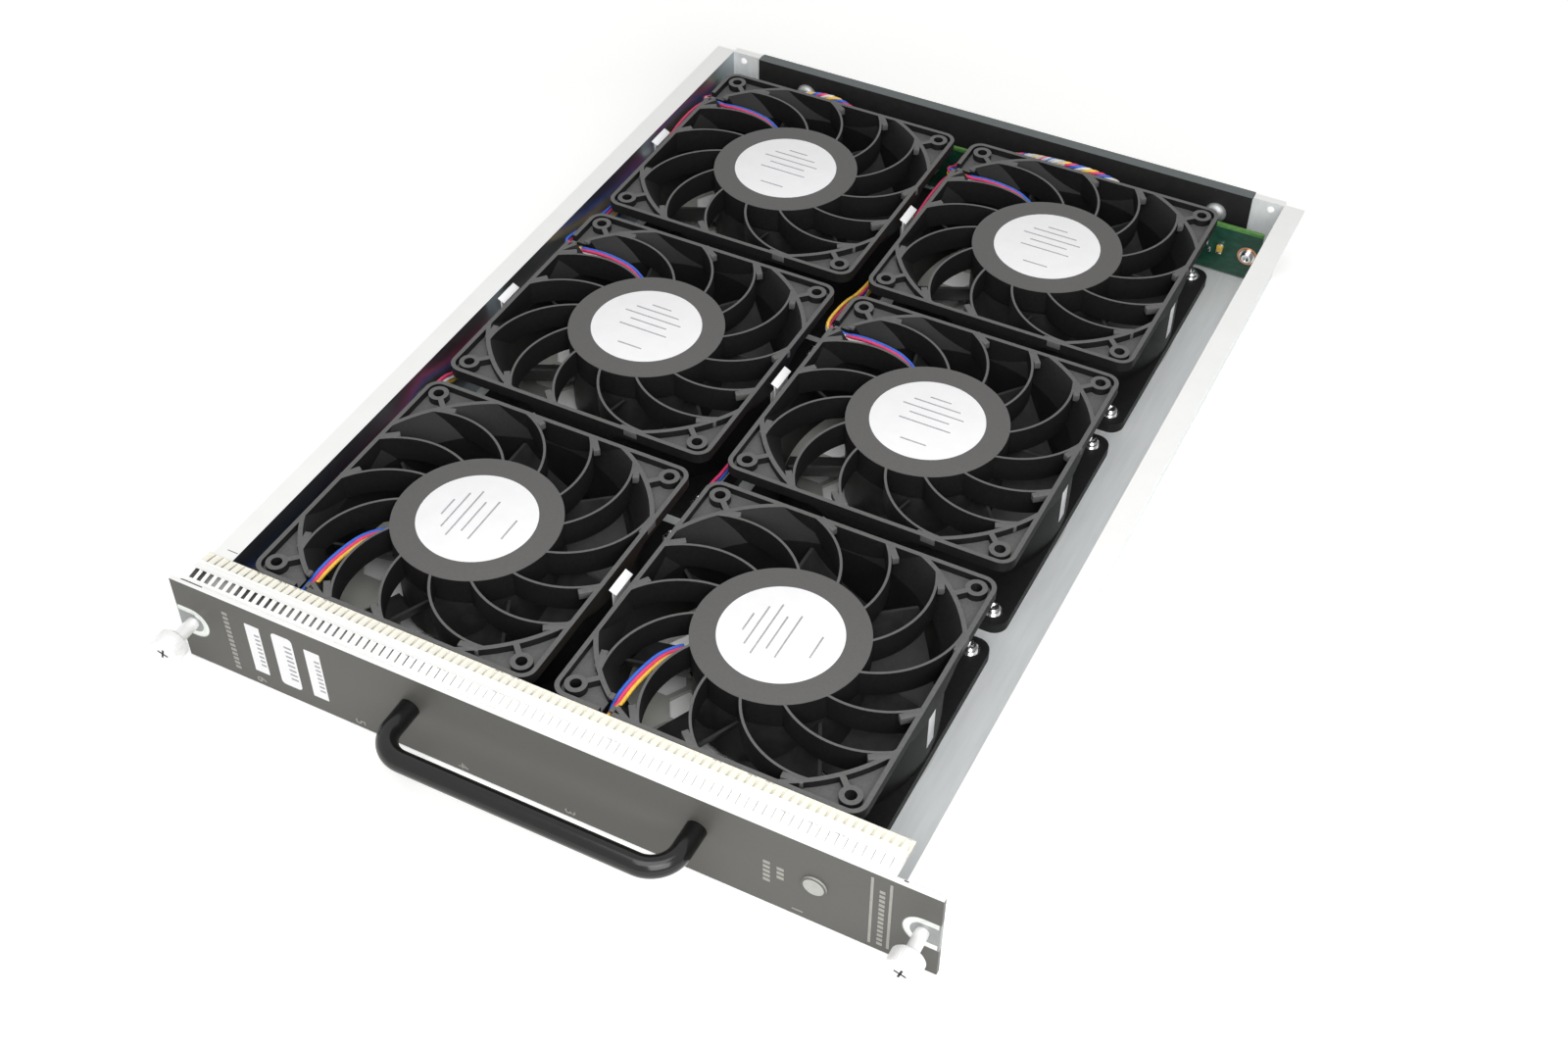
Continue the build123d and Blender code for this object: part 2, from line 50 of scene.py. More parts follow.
# Places read from the frame
FAN_LOW, FAN_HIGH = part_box("fan_1_frame")
FAN_TOP = FAN_HIGH.z
FAN_HALF = (FAN_HIGH.x - FAN_LOW.x) / 2
PANEL_LOW, PANEL_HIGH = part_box("front_panel")
GASKET_LOW, GASKET_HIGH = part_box("gasket_strip")
BOARD_LOW, BOARD_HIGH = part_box("control_board")
BACKING_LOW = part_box("backing_sheet")[0]
POST_LOW, POST_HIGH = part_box("board_posts")

# Fan details
HUB_R = 32.3 * MM
HUB_RISE = 0.15 * MM
HUB_EDGE = 0.5 * MM
HUB_SIDE_SHARE = 0.4
ROUND_STEPS = 96
LABEL_R = 23.0 * MM
LABEL_RISE = 0.22 * MM
LABEL_EDGE = (0.1 * MM, 0.02 * MM)
LABEL_BARS = ((13, 9), (9.5, 20), (5.5, 26), (1.5, 17), (-3, 22), (-14, 11))
LABEL_BAR_W = 0.7 * MM
LABEL_BAR_T = 0.04 * MM
LABEL_BAR_EDGE = 0.015 * MM
VANE_COUNT = 13
VANE_START = math.radians(97.85)
VANE_ARC_CENTRE = Vector((18.53 * MM, 32.79 * MM, 0))
VANE_ARC_R = 35.27 * MM
VANE_ARC_START = math.radians(-68.0)
VANE_ARC_STEP = math.radians(0.5)
OPENING_R = 64.2 * MM
OPENING_HALF = 57.7 * MM
FOOT_LENGTH = 8.0 * MM
FOOT_WIDTH = 2.6 * MM
FOOT_HEIGHT = 3.0 * MM
FOOT_RISE = 0.06 * MM
FOOT_EDGE = 0.2 * MM
HOLE_INSET = 7.0 * MM
STICKER_SIZE = (0.15 * MM, 5.5 * MM, 18.0 * MM)
STICKER_Z = 21.5 * MM
STICKER_EDGE = 0.05 * MM
BARREL_R = 59.1 * MM
LOWER_FLANGE_TOP = 6.0 * MM
FAN_SCREW_R = 3.0 * MM
FAN_SCREW_H = 2.8 * MM
WASHER_T = 0.5 * MM
WASHER_SHARE = 1.25
PAN_PROFILE = ((1, 0.7), (0.75, 1), (0.5, 1), (0.2, 0.75), (0, 0.7))
SCREW_STEPS = 24
FAN_PITCH = 127.0 * MM
# Painted shade on the floor under each fan: its grey, and the width over which it fades out
UNDER_FAN_SHADE_GREY = (0.45, 0.45, 0.42, 1)
UNDER_FAN_SHADE_FADE = 1.5 * MM

# Fan leads: the frame's routes, with points added where the photograph shows the wires
HUB_SURFACE_R = 32.5 * MM
LEAD_W = 2.6 * MM
LEAD_NOTCH = FAN_HALF - 22.5 * MM
LEAD_HUB_ANGLE = math.radians(122.0)
LEAD_Z = FAN_TOP - 4.2 * MM
LEAD_LANE_STEP = 4.0 * MM
LEAD_LANES = {-1: -134.7 * MM, 1: -8.0 * MM}
LEAD_FRONT = 3.7 * MM
HEADER_START = 70.0 * MM
HEADER_STEP = 18.0 * MM
HEADER_DROP = 6.8 * MM
BAY_Y = BOARD_LOW.y - 2.25 * MM
LEAD_NEAR_HUB = ((-24.0, 32.8, 37.0), (-34.0, 35.2, 37.4), (-45.0, 37.0, 36.6), (-56.0, 37.0, 35.2))
LEAD_IN_LANE = {
    1: ((-170, 19.5), (-84, 19.5), (-62, 31.5), (-44, 22), (150, 22)),
    2: ((-76, 25), (-62, 28.5), (-50, 25), (150, 24)),
    3: ((57, 30), (72, 27), (118, 25), (134, 34.0), (160, 34.0), (174, 27)),
    4: ((57, 33.5), (72, 27), (116, 24), (132, 31.4), (160, 31.4), (174, 26)),
    5: ((177, 28),),
    6: ((177, 28),),
}
LEAD_CORNER_DROP = 6.0 * MM
LEAD_IN_BAY = {
    5: ((-104, 28), (-90, 36.4), (-74, 37.0), (-62, 29)),
    6: ((6, 29), (19, 36.6), (60, 37.4), (74, 29)),
}
LIP_SIZE = (2.6 * MM, 1.7 * MM, 1.2 * MM)
LIP_SPOTS = ((-56.5, 35.4), (-51.5, 38.6))
WIRE_R = 0.75 * MM
ROUTE_STEPS = 32
WIRE_STEP = 1.45 * MM
WIRE_SPREAD = 0.9 * MM
LANE_SPREAD = (0.5 * MM, 1.7 * MM)
BAY_FADE = 10.0 * MM
RIBBON_RUN = 34.0 * MM
RIBBON_FADE = 10.0 * MM
BAY_TWIST = 13.0 * MM
LANE_TWIST = 400.0 * MM
RED_UP_Y = {-1: -62.0 * MM, 0: 150.0 * MM, 1: 150.0 * MM}
FRONT_RIBBON = {"blue": (1, 0), "red": (0, 0.1), "yellow": (-1, 0), "white": (0, -0.9)}
REAR_RIBBON = {"blue": (0.5, 0), "red": (-0.5, 0.1), "yellow": (0.5, -1), "white": (-0.6, -0.9)}
WIND_ORDER = {-1: ("white", "red", "blue", "yellow"), 1: ("blue", "red", "yellow", "white")}
SLEEVE_R = 1.6 * MM
SLEEVES = {6: (19 * MM, 39.3 * MM)}
FLAG_Y = {1: (-6.5,), 2: (-130.0, -2.2), 3: (124.0,), 4: (121.8,)}
FLAG_LENGTH = 12.0 * MM
FLAG_T = 0.4 * MM
FLAG_W = 3.4 * MM
FLAG_TILT = math.radians(28)
FLAG_DROP = 1.3 * MM
FLAG_EDGE = 0.1 * MM
FLAG_STEPS = 20

# Gasket fingers
FRONT_PITCH = 3.26 * MM
REAR_PITCH = 3.3 * MM
FRONT_SLOT_W = (2.1 * MM, 0.3 * MM)
FRONT_SLOT_FADE = 0.42
REAR_SLOT_W = 1.0 * MM
GASKET_T = 0.25 * MM
GASKET_WELD = 0.01 * MM
# Painted shade and reflection seen through the front slots: ramp stops as share along the strip and grey
FRONT_SLOT_SHADE_STOPS = ((0.06, 0.06), (0.09, 0.4), (0.14, 0.3), (0.18, 0.05), (0.26, 0.07),
                     (0.33, 0.26), (0.6, 0.3))
SLOT_SHADE_WARMTH = (1, 0.97, 0.92)
CHANNEL_FADE_X = (-150 * MM, -10 * MM)
# Colours painted on the sheet under the gasket: dark painted shade at the left fading to white in front,
# beige painted shade fading to cream behind
CHANNEL_PAINTED_SHADE = (0.05, 0.045, 0.04, 1)
CHANNEL_WHITE = (0.95, 0.95, 0.93, 1)
CHANNEL_REAR_SHADE = (0.5, 0.47, 0.36, 1)
CHANNEL_CREAM = (0.9, 0.87, 0.74, 1)
CHANNEL_OVERLAP = 2 * MM
FRONT_BANDS = (0.0, 0.13, 0.40, 0.57)
REAR_BANDS = (0.57, 0.66, 0.97, 1.0)
GASKET_REAR_SHARE = 0.62
GASKET_REAR_Y = GASKET_LOW.y + GASKET_REAR_SHARE * (GASKET_HIGH.y - GASKET_LOW.y)

# Panel print
SLOT_NUMBERS = 6
NUMBER_X = 101.3 * MM
NUMBER_PITCH = -44.1 * MM
NUMBER_Z = 2.9 * MM
NUMBER_SIZE = 6.0 * MM
PRINT_RISE = 0.08 * MM
STICKERS = ((-120.6, -114.2, 7.7, 33.0, 0.3), (-108.8, -99.7, 6.7, 34.0, 1.8),
            (-94.6, -87.9, 7.2, 32.3, 0.3))
STICKER_BARS = 8
STICKER_BAR_RISE = 1.3 * PRINT_RISE
STICKER_BAR_H = 1.0
STICKER_BAR_SPAN = (0.55, 0.9)
STICKER_BAR_START = 0.16
STICKER_BAR_SHARE = 0.09
BAR_CORNER = 0.1
RULE_HALF = 0.5
RULES = ((127.9, 2.2, 38.6), (134.6, 2.8, 38.4))
BARS = ((90.0, 12.2, 26.2, 2.6), (95.1, 16.2, 23.4, 2.6), (131.6, 3.0, 36.5, 2.0),
        (-129.2, 4.0, 36.0, 2.4))
BAR_PITCH = 2.4 * MM
BAR_LENGTH = 1.5 * MM

# Dome heads on the backing sheet
DOMES = ((-98.0, 28.0), (109.0, 27.0))
DOME_PROFILE = ((5, 0), (4.9, 0.8), (4.2, 2.0), (2.8, 2.9), (0, 3.2))
DOME_STEPS = 32

# Board details
POST_X = (-128.5, 128.5)
RING_R = (4.6 * MM, 2.6 * MM)
RING_T = 0.08 * MM
BOARD_SCREW_R = 2.8 * MM
BOARD_SCREW_H = 2.4 * MM
CAP_X = (115.8, 4.0, -12.0)
CAP_SIZE = (2.8 * MM, 2.0 * MM, 3.6 * MM)
CAP_Z = 15.2 * MM
CAP_EDGE = 0.3 * MM
CAP_END_SIZE = (2.4 * MM, 1.6 * MM, 0.8 * MM)
CAP_END_RISE = 2.2 * MM
CAP_END_EDGE = 0.2 * MM
CHIPS = ((105.6, 14.5), (109.4, 16.0), (111.0, 13.0), (-7.0, 17.0), (-4.5, 14.0), (-2.0, 17.5))
CHIP_SIZE = (1.4 * MM, 0.9 * MM, 2.4 * MM)
CHIP_EDGE = 0.15 * MM
TOP_STRIP_T = 0.1 * MM
TOP_STRIP_H = 1.6 * MM
TOP_STRIP_EDGE = 0.03 * MM

# Ring round the status lens, its radii as shares of the lens radius
BEZEL_INNER = 0.84
BEZEL_OUTER = 1.0
BEZEL_RISE = 0.06 * MM
BEZEL_DEPTH = 0.2 * MM
BEZEL_STEPS = 48

# Dark seams: an ear's as length and middle X, the flange's as length, width, middle X and Y
SEAM_H = 0.12 * MM
SEAM_EDGE = 0.04 * MM
SEAM_INSET = 0.2 * MM
EAR_SEAMS = ((9.7, -143.5), (1.6, 138.7))
EAR_SEAM_W = 0.45 * MM
FLANGE_SEAM = (4.5 * MM, 0.3 * MM, -141.3 * MM, -182.8 * MM)

# Captive screws, measured from the knob's face
KNOB_LENGTH = 7.7 * MM
KNOB_CHAMFER = 0.7 * MM
KNOB_DISH = ((0, 0.25), (3.4, 0.2), (3.7, 0))
NECK_R = 2.5 * MM
GROOVE_R = 1.9 * MM
CLIP_SPAN = (19.9 * MM, 21.1 * MM)
THREAD_PITCH = 0.8 * MM
THREAD_DEPTH = 0.35 * MM
END_TAPER = 0.6 * MM
SCREW_SIDES = 40
RIDGES = 40
RIDGE_SIZE = (0.16 * MM, 0.4 * MM)
RIDGE_EDGE = 0.05 * MM
CROSS_TURN = 0.3
CROSS_SIZE = (4.6 * MM, 0.8 * MM, 0.12 * MM)
CROSS_DEPTH = 0.22 * MM
CROSS_EDGE = 0.04 * MM

# Ferrule rims
NOTCH_R = 7.25 * MM
RIM_TUBE_R = 2.4 * MM
RIM_PROUD = 0.4 * MM
RIM_WIDTH = 3.0 * MM
RIM_ARM = 5.5 * MM
RIM_STEPS = 12

# Camera of the photograph
CAMERA_AT = (267.20 * MM, -548.94 * MM, 563.75 * MM)
CAMERA_FORWARD = (-0.31726, 0.63475, -0.70459)
CAMERA_RIGHT = (0.89154, 0.45289, 0.00656)
CAMERA_LENS = 45.87
SENSOR = 36.0

# Floor, surround and lamps
FLOOR_LIFT = (0.3, 0.8)
FLOOR_LIFT_REACH = (0.3, 0.9)
SHADED_HALF = (0.134, 0.198, 1.0)
SKY_LIGHT = 0.3
LAMPS = (("key", (0.5, -0.62, 0.55), 0.6, 4.75), ("top", (0.13, -0.4, 1.0), 0.8, 5.7))
FLOOR_HALF = 6
FLOOR_DROP = 0.5 * MM
FLOOR_GLOW = (1, 1, 0.985, 1)

# Surfaces
MOTTLE_DETAIL = 5.0
MOTTLE_BAND = (0.3, 0.7)
GLOSS_SPREAD = (0.85, 1.2)
RELIEF_DEPTH = 0.3 * MM
ZINC_LOOK = {"colour": (0.925, 0.95, 0.955), "rough": 0.45, "metallic": 0.2, "vary": 0.04, "grain": 60,
             "stretch": (9, 0.7, 3), "bump": 0.03}
SMOOTH_ANGLE = math.radians(32)
FACING = 0.9
HIGH_SHARE = 0.9


def material(name, colour, rough, metallic=0.0, vary=0.12, grain=350.0, stretch=(1, 1, 1),
             bump=0.05):
    """A surface with fine mottling in colour, gloss and relief."""
    made = bpy.data.materials.new(name)
    made.use_nodes = True
    nodes = made.node_tree.nodes
    links = made.node_tree.links
    shader = nodes["Principled BSDF"]
    shader.inputs["Metallic"].default_value = metallic
    place = nodes.new("ShaderNodeTexCoord")
    mapping = nodes.new("ShaderNodeMapping")
    mapping.inputs["Scale"].default_value = stretch
    noise = nodes.new("ShaderNodeTexNoise")
    noise.inputs["Scale"].default_value = grain
    noise.inputs["Detail"].default_value = MOTTLE_DETAIL
    ramp = nodes.new("ShaderNodeValToRGB")
    ramp.color_ramp.elements[0].position = MOTTLE_BAND[0]
    ramp.color_ramp.elements[1].position = MOTTLE_BAND[1]
    ramp.color_ramp.elements[0].color = [c * (1 - vary) for c in colour] + [1]
    ramp.color_ramp.elements[1].color = [min(1, c * (1 + vary)) for c in colour] + [1]
    gloss = nodes.new("ShaderNodeMapRange")
    gloss.inputs["To Min"].default_value = rough * GLOSS_SPREAD[0]
    gloss.inputs["To Max"].default_value = min(1.0, rough * GLOSS_SPREAD[1])
    relief = nodes.new("ShaderNodeBump")
    relief.inputs["Strength"].default_value = bump
    relief.inputs["Distance"].default_value = RELIEF_DEPTH
    links.new(place.outputs["Object"], mapping.inputs["Vector"])
    links.new(mapping.outputs["Vector"], noise.inputs["Vector"])
    links.new(noise.outputs["Fac"], ramp.inputs["Fac"])
    links.new(ramp.outputs["Color"], shader.inputs["Base Color"])
    links.new(noise.outputs["Fac"], gloss.inputs["Value"])
    links.new(gloss.outputs["Result"], shader.inputs["Roughness"])
    links.new(noise.outputs["Fac"], relief.inputs["Height"])
    links.new(relief.outputs["Normal"], shader.inputs["Normal"])
    return made


def operate(tree, kind, operation, *sources):
    """A Math or VectorMath node that works on sockets and fixed values."""
    node = tree.nodes.new("ShaderNode" + kind)
    node.operation = operation
    for slot, source in zip(node.inputs, sources):
        if isinstance(source, bpy.types.NodeSocket):
            tree.links.new(source, slot)
        else:
            slot.default_value = source
    return node


def set_specular(made, level):
    """How strongly a plastic or paint mirrors its surroundings."""
    made.node_tree.nodes["Principled BSDF"].inputs["Specular IOR Level"].default_value = level


# Black fan plastic in two copies: the frames' sides darker, painted shade, and their top faces a lighter
# grey, painted light
FAN_SHADED_PLASTIC = material("fan_plastic", (0.012, 0.012, 0.012), 0.5, vary=0.2, grain=900, bump=0.1)
FAN_LIT_TOP = material("fan_lit_top", (0.105, 0.104, 0.103), 0.55, vary=0.12, grain=900, bump=0.1)
BLADE_PLASTIC = material("blade_plastic", (0.03, 0.031, 0.03), 0.42, vary=0.2, grain=250)
# The hub's top painted the grey of lit black plastic: painted light
HUB_LIT_TOP = material("hub_lit_top", (0.1, 0.098, 0.096), 0.6, vary=0.08, grain=1200, bump=0.08)
for dark in (FAN_SHADED_PLASTIC, BLADE_PLASTIC):
    set_specular(dark, 0.2)
# Dark for the seams' gaps, and for the knobs' cross recesses as painted shade
SEAM_AND_RECESS_SHADE = material("seam", (0.03, 0.028, 0.032), 0.8)
LABEL_PAPER = material("label_paper", (0.95, 0.95, 0.96), 0.4, vary=0.02, grain=150, bump=0.02)
PRINT_INK = material("print_ink", (0.4, 0.4, 0.42), 0.6, vary=0.25, grain=2500)
PANEL_INK = material("panel_ink", (0.36, 0.35, 0.32), 0.6, vary=0.12, grain=1500)
ZINC = material("zinc_sheet", **ZINC_LOOK)
# A darker, bluer copy of the zinc for the left wall's inner face only: painted shade and reflection
LEFT_WALL_SHADE_METAL = material("left_wall_shade_metal", (0.5, 0.55, 0.575), 0.32, metallic=1.0, vary=0.04, grain=60,
                      stretch=(9, 0.7, 3), bump=0.02)
# Near-white metal for the walls' and panel's top faces: painted highlight, on the panel's top edge also
# its bare metal
LIT_TOP_METAL = material("lit_top_metal", (0.95, 0.95, 0.935), 0.5, vary=0.015, grain=90)
SPRING = material("spring_metal", (0.96, 0.96, 0.94), 0.4, vary=0.015, grain=300)
# The rear row of fingers in a warmer, slightly darker copy of the spring metal: painted shade
SPRING_REAR_SHADE = material("spring_rear_shade", (0.95, 0.93, 0.83), 0.4, vary=0.02, grain=300)
BRIGHT = material("bright_metal", (0.93, 0.93, 0.93), 0.22, metallic=1.0, vary=0.02, grain=400)
# The ferrule's body darker than its rim, which is the same metal: painted shade
INSERT_SHADE = material("insert_shaded_inside", (0.3, 0.31, 0.31), 0.4, metallic=0.8, vary=0.06, grain=500)
INSERT = material("insert_metal", (0.82, 0.85, 0.81), 0.4, metallic=0.5, vary=0.04, grain=500)
KNOB_METAL = material("knob_metal", (0.94, 0.94, 0.935), 0.35, metallic=0.4, vary=0.02, grain=400,
                      bump=0.01)
PANEL_PAINT = material("panel_paint", (0.087, 0.085, 0.077), 0.5, vary=0.06, grain=700, bump=0.08)
HANDLE_COAT = material("handle_coat", (0.004, 0.004, 0.004), 0.16, vary=0.2, grain=200, bump=0.01)
set_specular(HANDLE_COAT, 0.45)
LENS = material("lens", (0.44, 0.44, 0.41), 0.4, vary=0.06, grain=600)
BACKING = material("backing", (0.008, 0.008, 0.008), 0.6, vary=0.2, grain=400)
# The black backing's top faces in a lighter grey: painted light
BACKING_LIT_TOP = material("backing_lit_top", (0.1, 0.115, 0.115), 0.5, vary=0.1, grain=300)
BOARD = material("board", (0.012, 0.075, 0.045), 0.35, vary=0.3, grain=260, stretch=(1, 1, 2.2),
                 bump=0.1)
# Lighter green for the board's top face and its upper front edge: painted light
BOARD_LIT_EDGE = material("board_lit_edge", (0.1, 0.26, 0.06), 0.5, vary=0.25, grain=500)
NYLON = material("header_nylon", (0.8, 0.78, 0.7), 0.5, vary=0.06, grain=500)
PLUG = material("plug_plastic", (0.03, 0.03, 0.032), 0.5, vary=0.2, grain=500)
STEEL = material("ground_steel", (0.62, 0.62, 0.64), 0.3, metallic=1.0, vary=0.06, grain=400)
SATIN = material("satin_steel", (0.42, 0.43, 0.43), 0.45, metallic=0.7, vary=0.06, grain=400)
IRON = material("stator_iron", (0.22, 0.15, 0.1), 0.55, metallic=0.6, vary=0.3, grain=900)
COPPER = material("copper_ring", (0.72, 0.36, 0.2), 0.3, metallic=1.0, vary=0.1, grain=800)
SLEEVE = material("lead_sleeve", (0.55, 0.56, 0.57), 0.5, vary=0.15, grain=900)
AMBER = material("capacitor", (0.75, 0.5, 0.09), 0.35, vary=0.12, grain=700)
WIRES = {
    "blue": material("wire_blue", (0.03, 0.13, 0.62), 0.35, vary=0.12, grain=500),
    "red": material("wire_red", (0.72, 0.05, 0.16), 0.35, vary=0.12, grain=500),
    "yellow": material("wire_yellow", (0.9, 0.55, 0.07), 0.35, vary=0.1, grain=500),
    "white": material("wire_white", (0.78, 0.74, 0.7), 0.4, vary=0.06, grain=500),
}


def channel_shade_paint():
    """Sheet under the gasket, painted with the shade and reflection seen through its slots: beige painted
    shade behind, and in front dark painted shade at the left and white at the right.
    """
    made = material("channel_shade_paint", CHANNEL_REAR_SHADE[:3], 0.5, vary=0.06, grain=120)
    nodes = made.node_tree.nodes
    links = made.node_tree.links
    place = nodes.new("ShaderNodeTexCoord")
    split = nodes.new("ShaderNodeSeparateXYZ")
    along = nodes.new("ShaderNodeMapRange")
    along.inputs["From Min"].default_value, along.inputs["From Max"].default_value = CHANNEL_FADE_X
    fade = nodes.new("ShaderNodeValToRGB")
    fade.color_ramp.elements[0].color = CHANNEL_PAINTED_SHADE
    fade.color_ramp.elements[1].color = CHANNEL_WHITE
    for share, grey in FRONT_SLOT_SHADE_STOPS:
        fade.color_ramp.elements.new(share).color = (*(grey * warm for warm in SLOT_SHADE_WARMTH), 1)
    mix = nodes.new("ShaderNodeMix")
    mix.data_type = "RGBA"
    links.new(place.outputs["Object"], split.inputs["Vector"])
    links.new(split.outputs["X"], along.inputs["Value"])
    links.new(along.outputs["Result"], fade.inputs["Fac"])
    rear = GASKET_REAR_Y - CHANNEL_OVERLAP
    behind = operate(made.node_tree, "Math", "GREATER_THAN", split.outputs["Y"], rear)
    links.new(behind.outputs[0], mix.inputs["Factor"])
    links.new(fade.outputs["Color"], mix.inputs["A"])
    beige = nodes.new("ShaderNodeValToRGB")
    beige.color_ramp.elements[0].color = CHANNEL_REAR_SHADE
    beige.color_ramp.elements[1].color = CHANNEL_CREAM
    links.new(along.outputs["Result"], beige.inputs["Fac"])
    links.new(beige.outputs["Color"], mix.inputs["B"])
    shader = nodes["Principled BSDF"]
    links.new(mix.outputs["Result"], shader.inputs["Base Color"])
    return made


def shaded_floor_metal():
    """The floor's sheet with painted shade: darker in a circle under each fan than in the lane beside
    them.
    """
    made = material("floor_sheet", **ZINC_LOOK)
    tree = made.node_tree
    half = FAN_PITCH / 2
    column_x = (fan_place(1).translation.x + fan_place(2).translation.x) / 2
    place = tree.nodes.new("ShaderNodeTexCoord")
    shift = operate(tree, "VectorMath", "SUBTRACT", place.outputs["Object"], (column_x, 0, 0))
    repeat = operate(tree, "VectorMath", "WRAP", shift.outputs["Vector"], (1, half, 1), (-1, -half, -1))
    mirror = operate(tree, "VectorMath", "ABSOLUTE", repeat.outputs["Vector"])
    from_column = operate(tree, "VectorMath", "SUBTRACT", mirror.outputs["Vector"], (half, 0, 0))
    reach = operate(tree, "VectorMath", "LENGTH", from_column.outputs["Vector"])
    beyond = tree.nodes.new("ShaderNodeMapRange")
    beyond.inputs["From Min"].default_value = BARREL_R
    beyond.inputs["From Max"].default_value = BARREL_R + UNDER_FAN_SHADE_FADE
    mix = tree.nodes.new("ShaderNodeMix")
    mix.data_type = "RGBA"
    mix.inputs["A"].default_value = UNDER_FAN_SHADE_GREY
    shader = tree.nodes["Principled BSDF"]
    mottled = shader.inputs["Base Color"].links[0].from_socket
    tree.links.new(reach.outputs["Value"], beyond.inputs["Value"])
    tree.links.new(beyond.outputs["Result"], mix.inputs["Factor"])
    tree.links.new(mottled, mix.inputs["B"])
    tree.links.new(mix.outputs["Result"], shader.inputs["Base Color"])
    return made


def wear(node, made):
    """Give a frame node its finish."""
    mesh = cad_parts[node].data
    mesh.materials.clear()
    mesh.materials.append(made)


def finish_frame():
    """Finishes of all the frame's own nodes."""
    for n in FAN_NUMBERS:
        wear(f"fan_{n}_frame", FAN_SHADED_PLASTIC)
        wear(f"fan_{n}_impeller", BLADE_PLASTIC)
        wear(f"fan_{n}_shaft", STEEL)
        wear(f"fan_{n}_lead", WIRES["red"])
    for side in ("left", "right"):
        wear(f"{side}_side_wall", ZINC)
        wear(f"{side}_ferrule", INSERT_SHADE)
        wear(f"{side}_screw", BRIGHT)
        wear(f"{side}_clip", BRIGHT)
    finishes = {
        "floor_plate": shaded_floor_metal(), "back_wall": ZINC, "front_channel": channel_shade_paint(),
        "gasket_strip": SPRING, "front_panel": PANEL_PAINT, "status_lens": LENS,
        "handle": HANDLE_COAT, "backing_sheet": BACKING, "control_board": BOARD,
        "board_posts": BRIGHT, "fan_headers": NYLON, "chassis_plug": PLUG,
        "motor_bearings": STEEL, "motor_stators": IRON,
    }
    for node, made in finishes.items():
        wear(node, made)


def paint_faces(node, made, chosen):
    """Give some of a node's faces a finish of their own."""
    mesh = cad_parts[node].data
    mesh.materials.append(made)
    for face in mesh.polygons:
        if chosen(face):
            face.material_index = len(mesh.materials) - 1


def edge_finishes():
    """Faces painted apart from the rest of their node: top faces lighter where light falls, painted light,
    and the left wall's inner face darker, painted shade and reflection.
    """
    def top(face):
        return face.normal.z > FACING

    def high_top(face):
        return top(face) and face.center.z > HIGH_SHARE * FAN_TOP

    def inner_side(face):
        return face.normal.x > FACING

    paint_faces("front_panel", LIT_TOP_METAL, high_top)
    paint_faces("control_board", BOARD_LIT_EDGE, top)
    paint_faces("backing_sheet", BACKING_LIT_TOP, top)
    for node in ("left_side_wall", "right_side_wall", "back_wall"):
        paint_faces(node, LIT_TOP_METAL, high_top)
    # The left wall's inner face darker than the right's: painted shade and reflection
    paint_faces("left_side_wall", LEFT_WALL_SHADE_METAL, inner_side)
    # The fans' top faces take the lighter grey of lit plastic: painted light
    for n in FAN_NUMBERS:
        paint_faces(f"fan_{n}_frame", FAN_LIT_TOP, high_top)


def lathe(bm, profile, place, steps=40):
    """Revolve a list of (radius, height) about the local Z axis."""
    rings = []
    for radius, height in profile:
        count = 1 if radius == 0 else steps
        turns = [i * math.tau / steps for i in range(count)]
        points = [(radius * math.cos(a), radius * math.sin(a), height) for a in turns]
        rings.append([bm.verts.new(place @ Vector(p)) for p in points])
    for lower, upper in zip(rings, rings[1:]):
        for i in range(steps):
            corners = [lower[i % len(lower)], lower[(i + 1) % len(lower)],
                       upper[(i + 1) % len(upper)], upper[i % len(upper)]]
            bm.faces.new(list(dict.fromkeys(corners)))


def block(bm, size, place, edge):
    """A block with rounded edges, centred on a place."""
    made = bmesh.ops.create_cube(bm, size=1.0, matrix=place @ Matrix.Diagonal((*size, 1)))
    edges = {e for v in made["verts"] for e in v.link_edges}
    bmesh.ops.bevel(bm, geom=list(edges), offset=edge, segments=2, profile=0.5, affect="EDGES")


def piece(name, bm, made, body="tray"):
    """Turn collected shapes into a piece that rides on a body."""
    bmesh.ops.recalc_face_normals(bm, faces=bm.faces)
    mesh = bpy.data.meshes.new(name)
    bm.to_mesh(mesh)
    bm.free()
    for face in mesh.polygons:
        face.use_smooth = True
    mesh.set_sharp_from_angle(angle=SMOOTH_ANGLE)
    mesh.materials.append(made)
    obj = bpy.data.objects.new(name, mesh)
    bpy.context.scene.collection.objects.link(obj)
    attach(obj, body)
    return obj


def at(x, y, z):
    """A place without a turn."""
    return Matrix.Translation((x, y, z))


def fan_place(n):
    """A fan's axis at floor height; the front row is turned a quarter."""
    low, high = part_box(f"fan_{n}_frame")
    turn = math.pi / 2 if n <= 2 else 0.0
    return at((low.x + high.x) / 2, (low.y + high.y) / 2, 0) @ Matrix.Rotation(turn, 4, "Z")


def corners():
    """The four screw places of a fan, with the turn of each corner."""
    reach = FAN_HALF - HOLE_INSET
    return [(Matrix.Rotation(q * math.pi / 2, 4, "Z") @ at(reach, reach, 0)) for q in range(4)]


def hub_lit_top(n):
    """A thin disc over a fan's hub, painted the grey of lit black plastic: painted light."""
    bm = bmesh.new()
    profile = [(HUB_R, 0), (HUB_R, HUB_RISE * HUB_SIDE_SHARE), (HUB_R - HUB_EDGE, HUB_RISE),
               (0, HUB_RISE)]
    lathe(bm, profile, fan_place(n) @ at(0, 0, FAN_TOP), steps=ROUND_STEPS)
    piece(f"fan_{n}_hub_lit_top", bm, HUB_LIT_TOP)


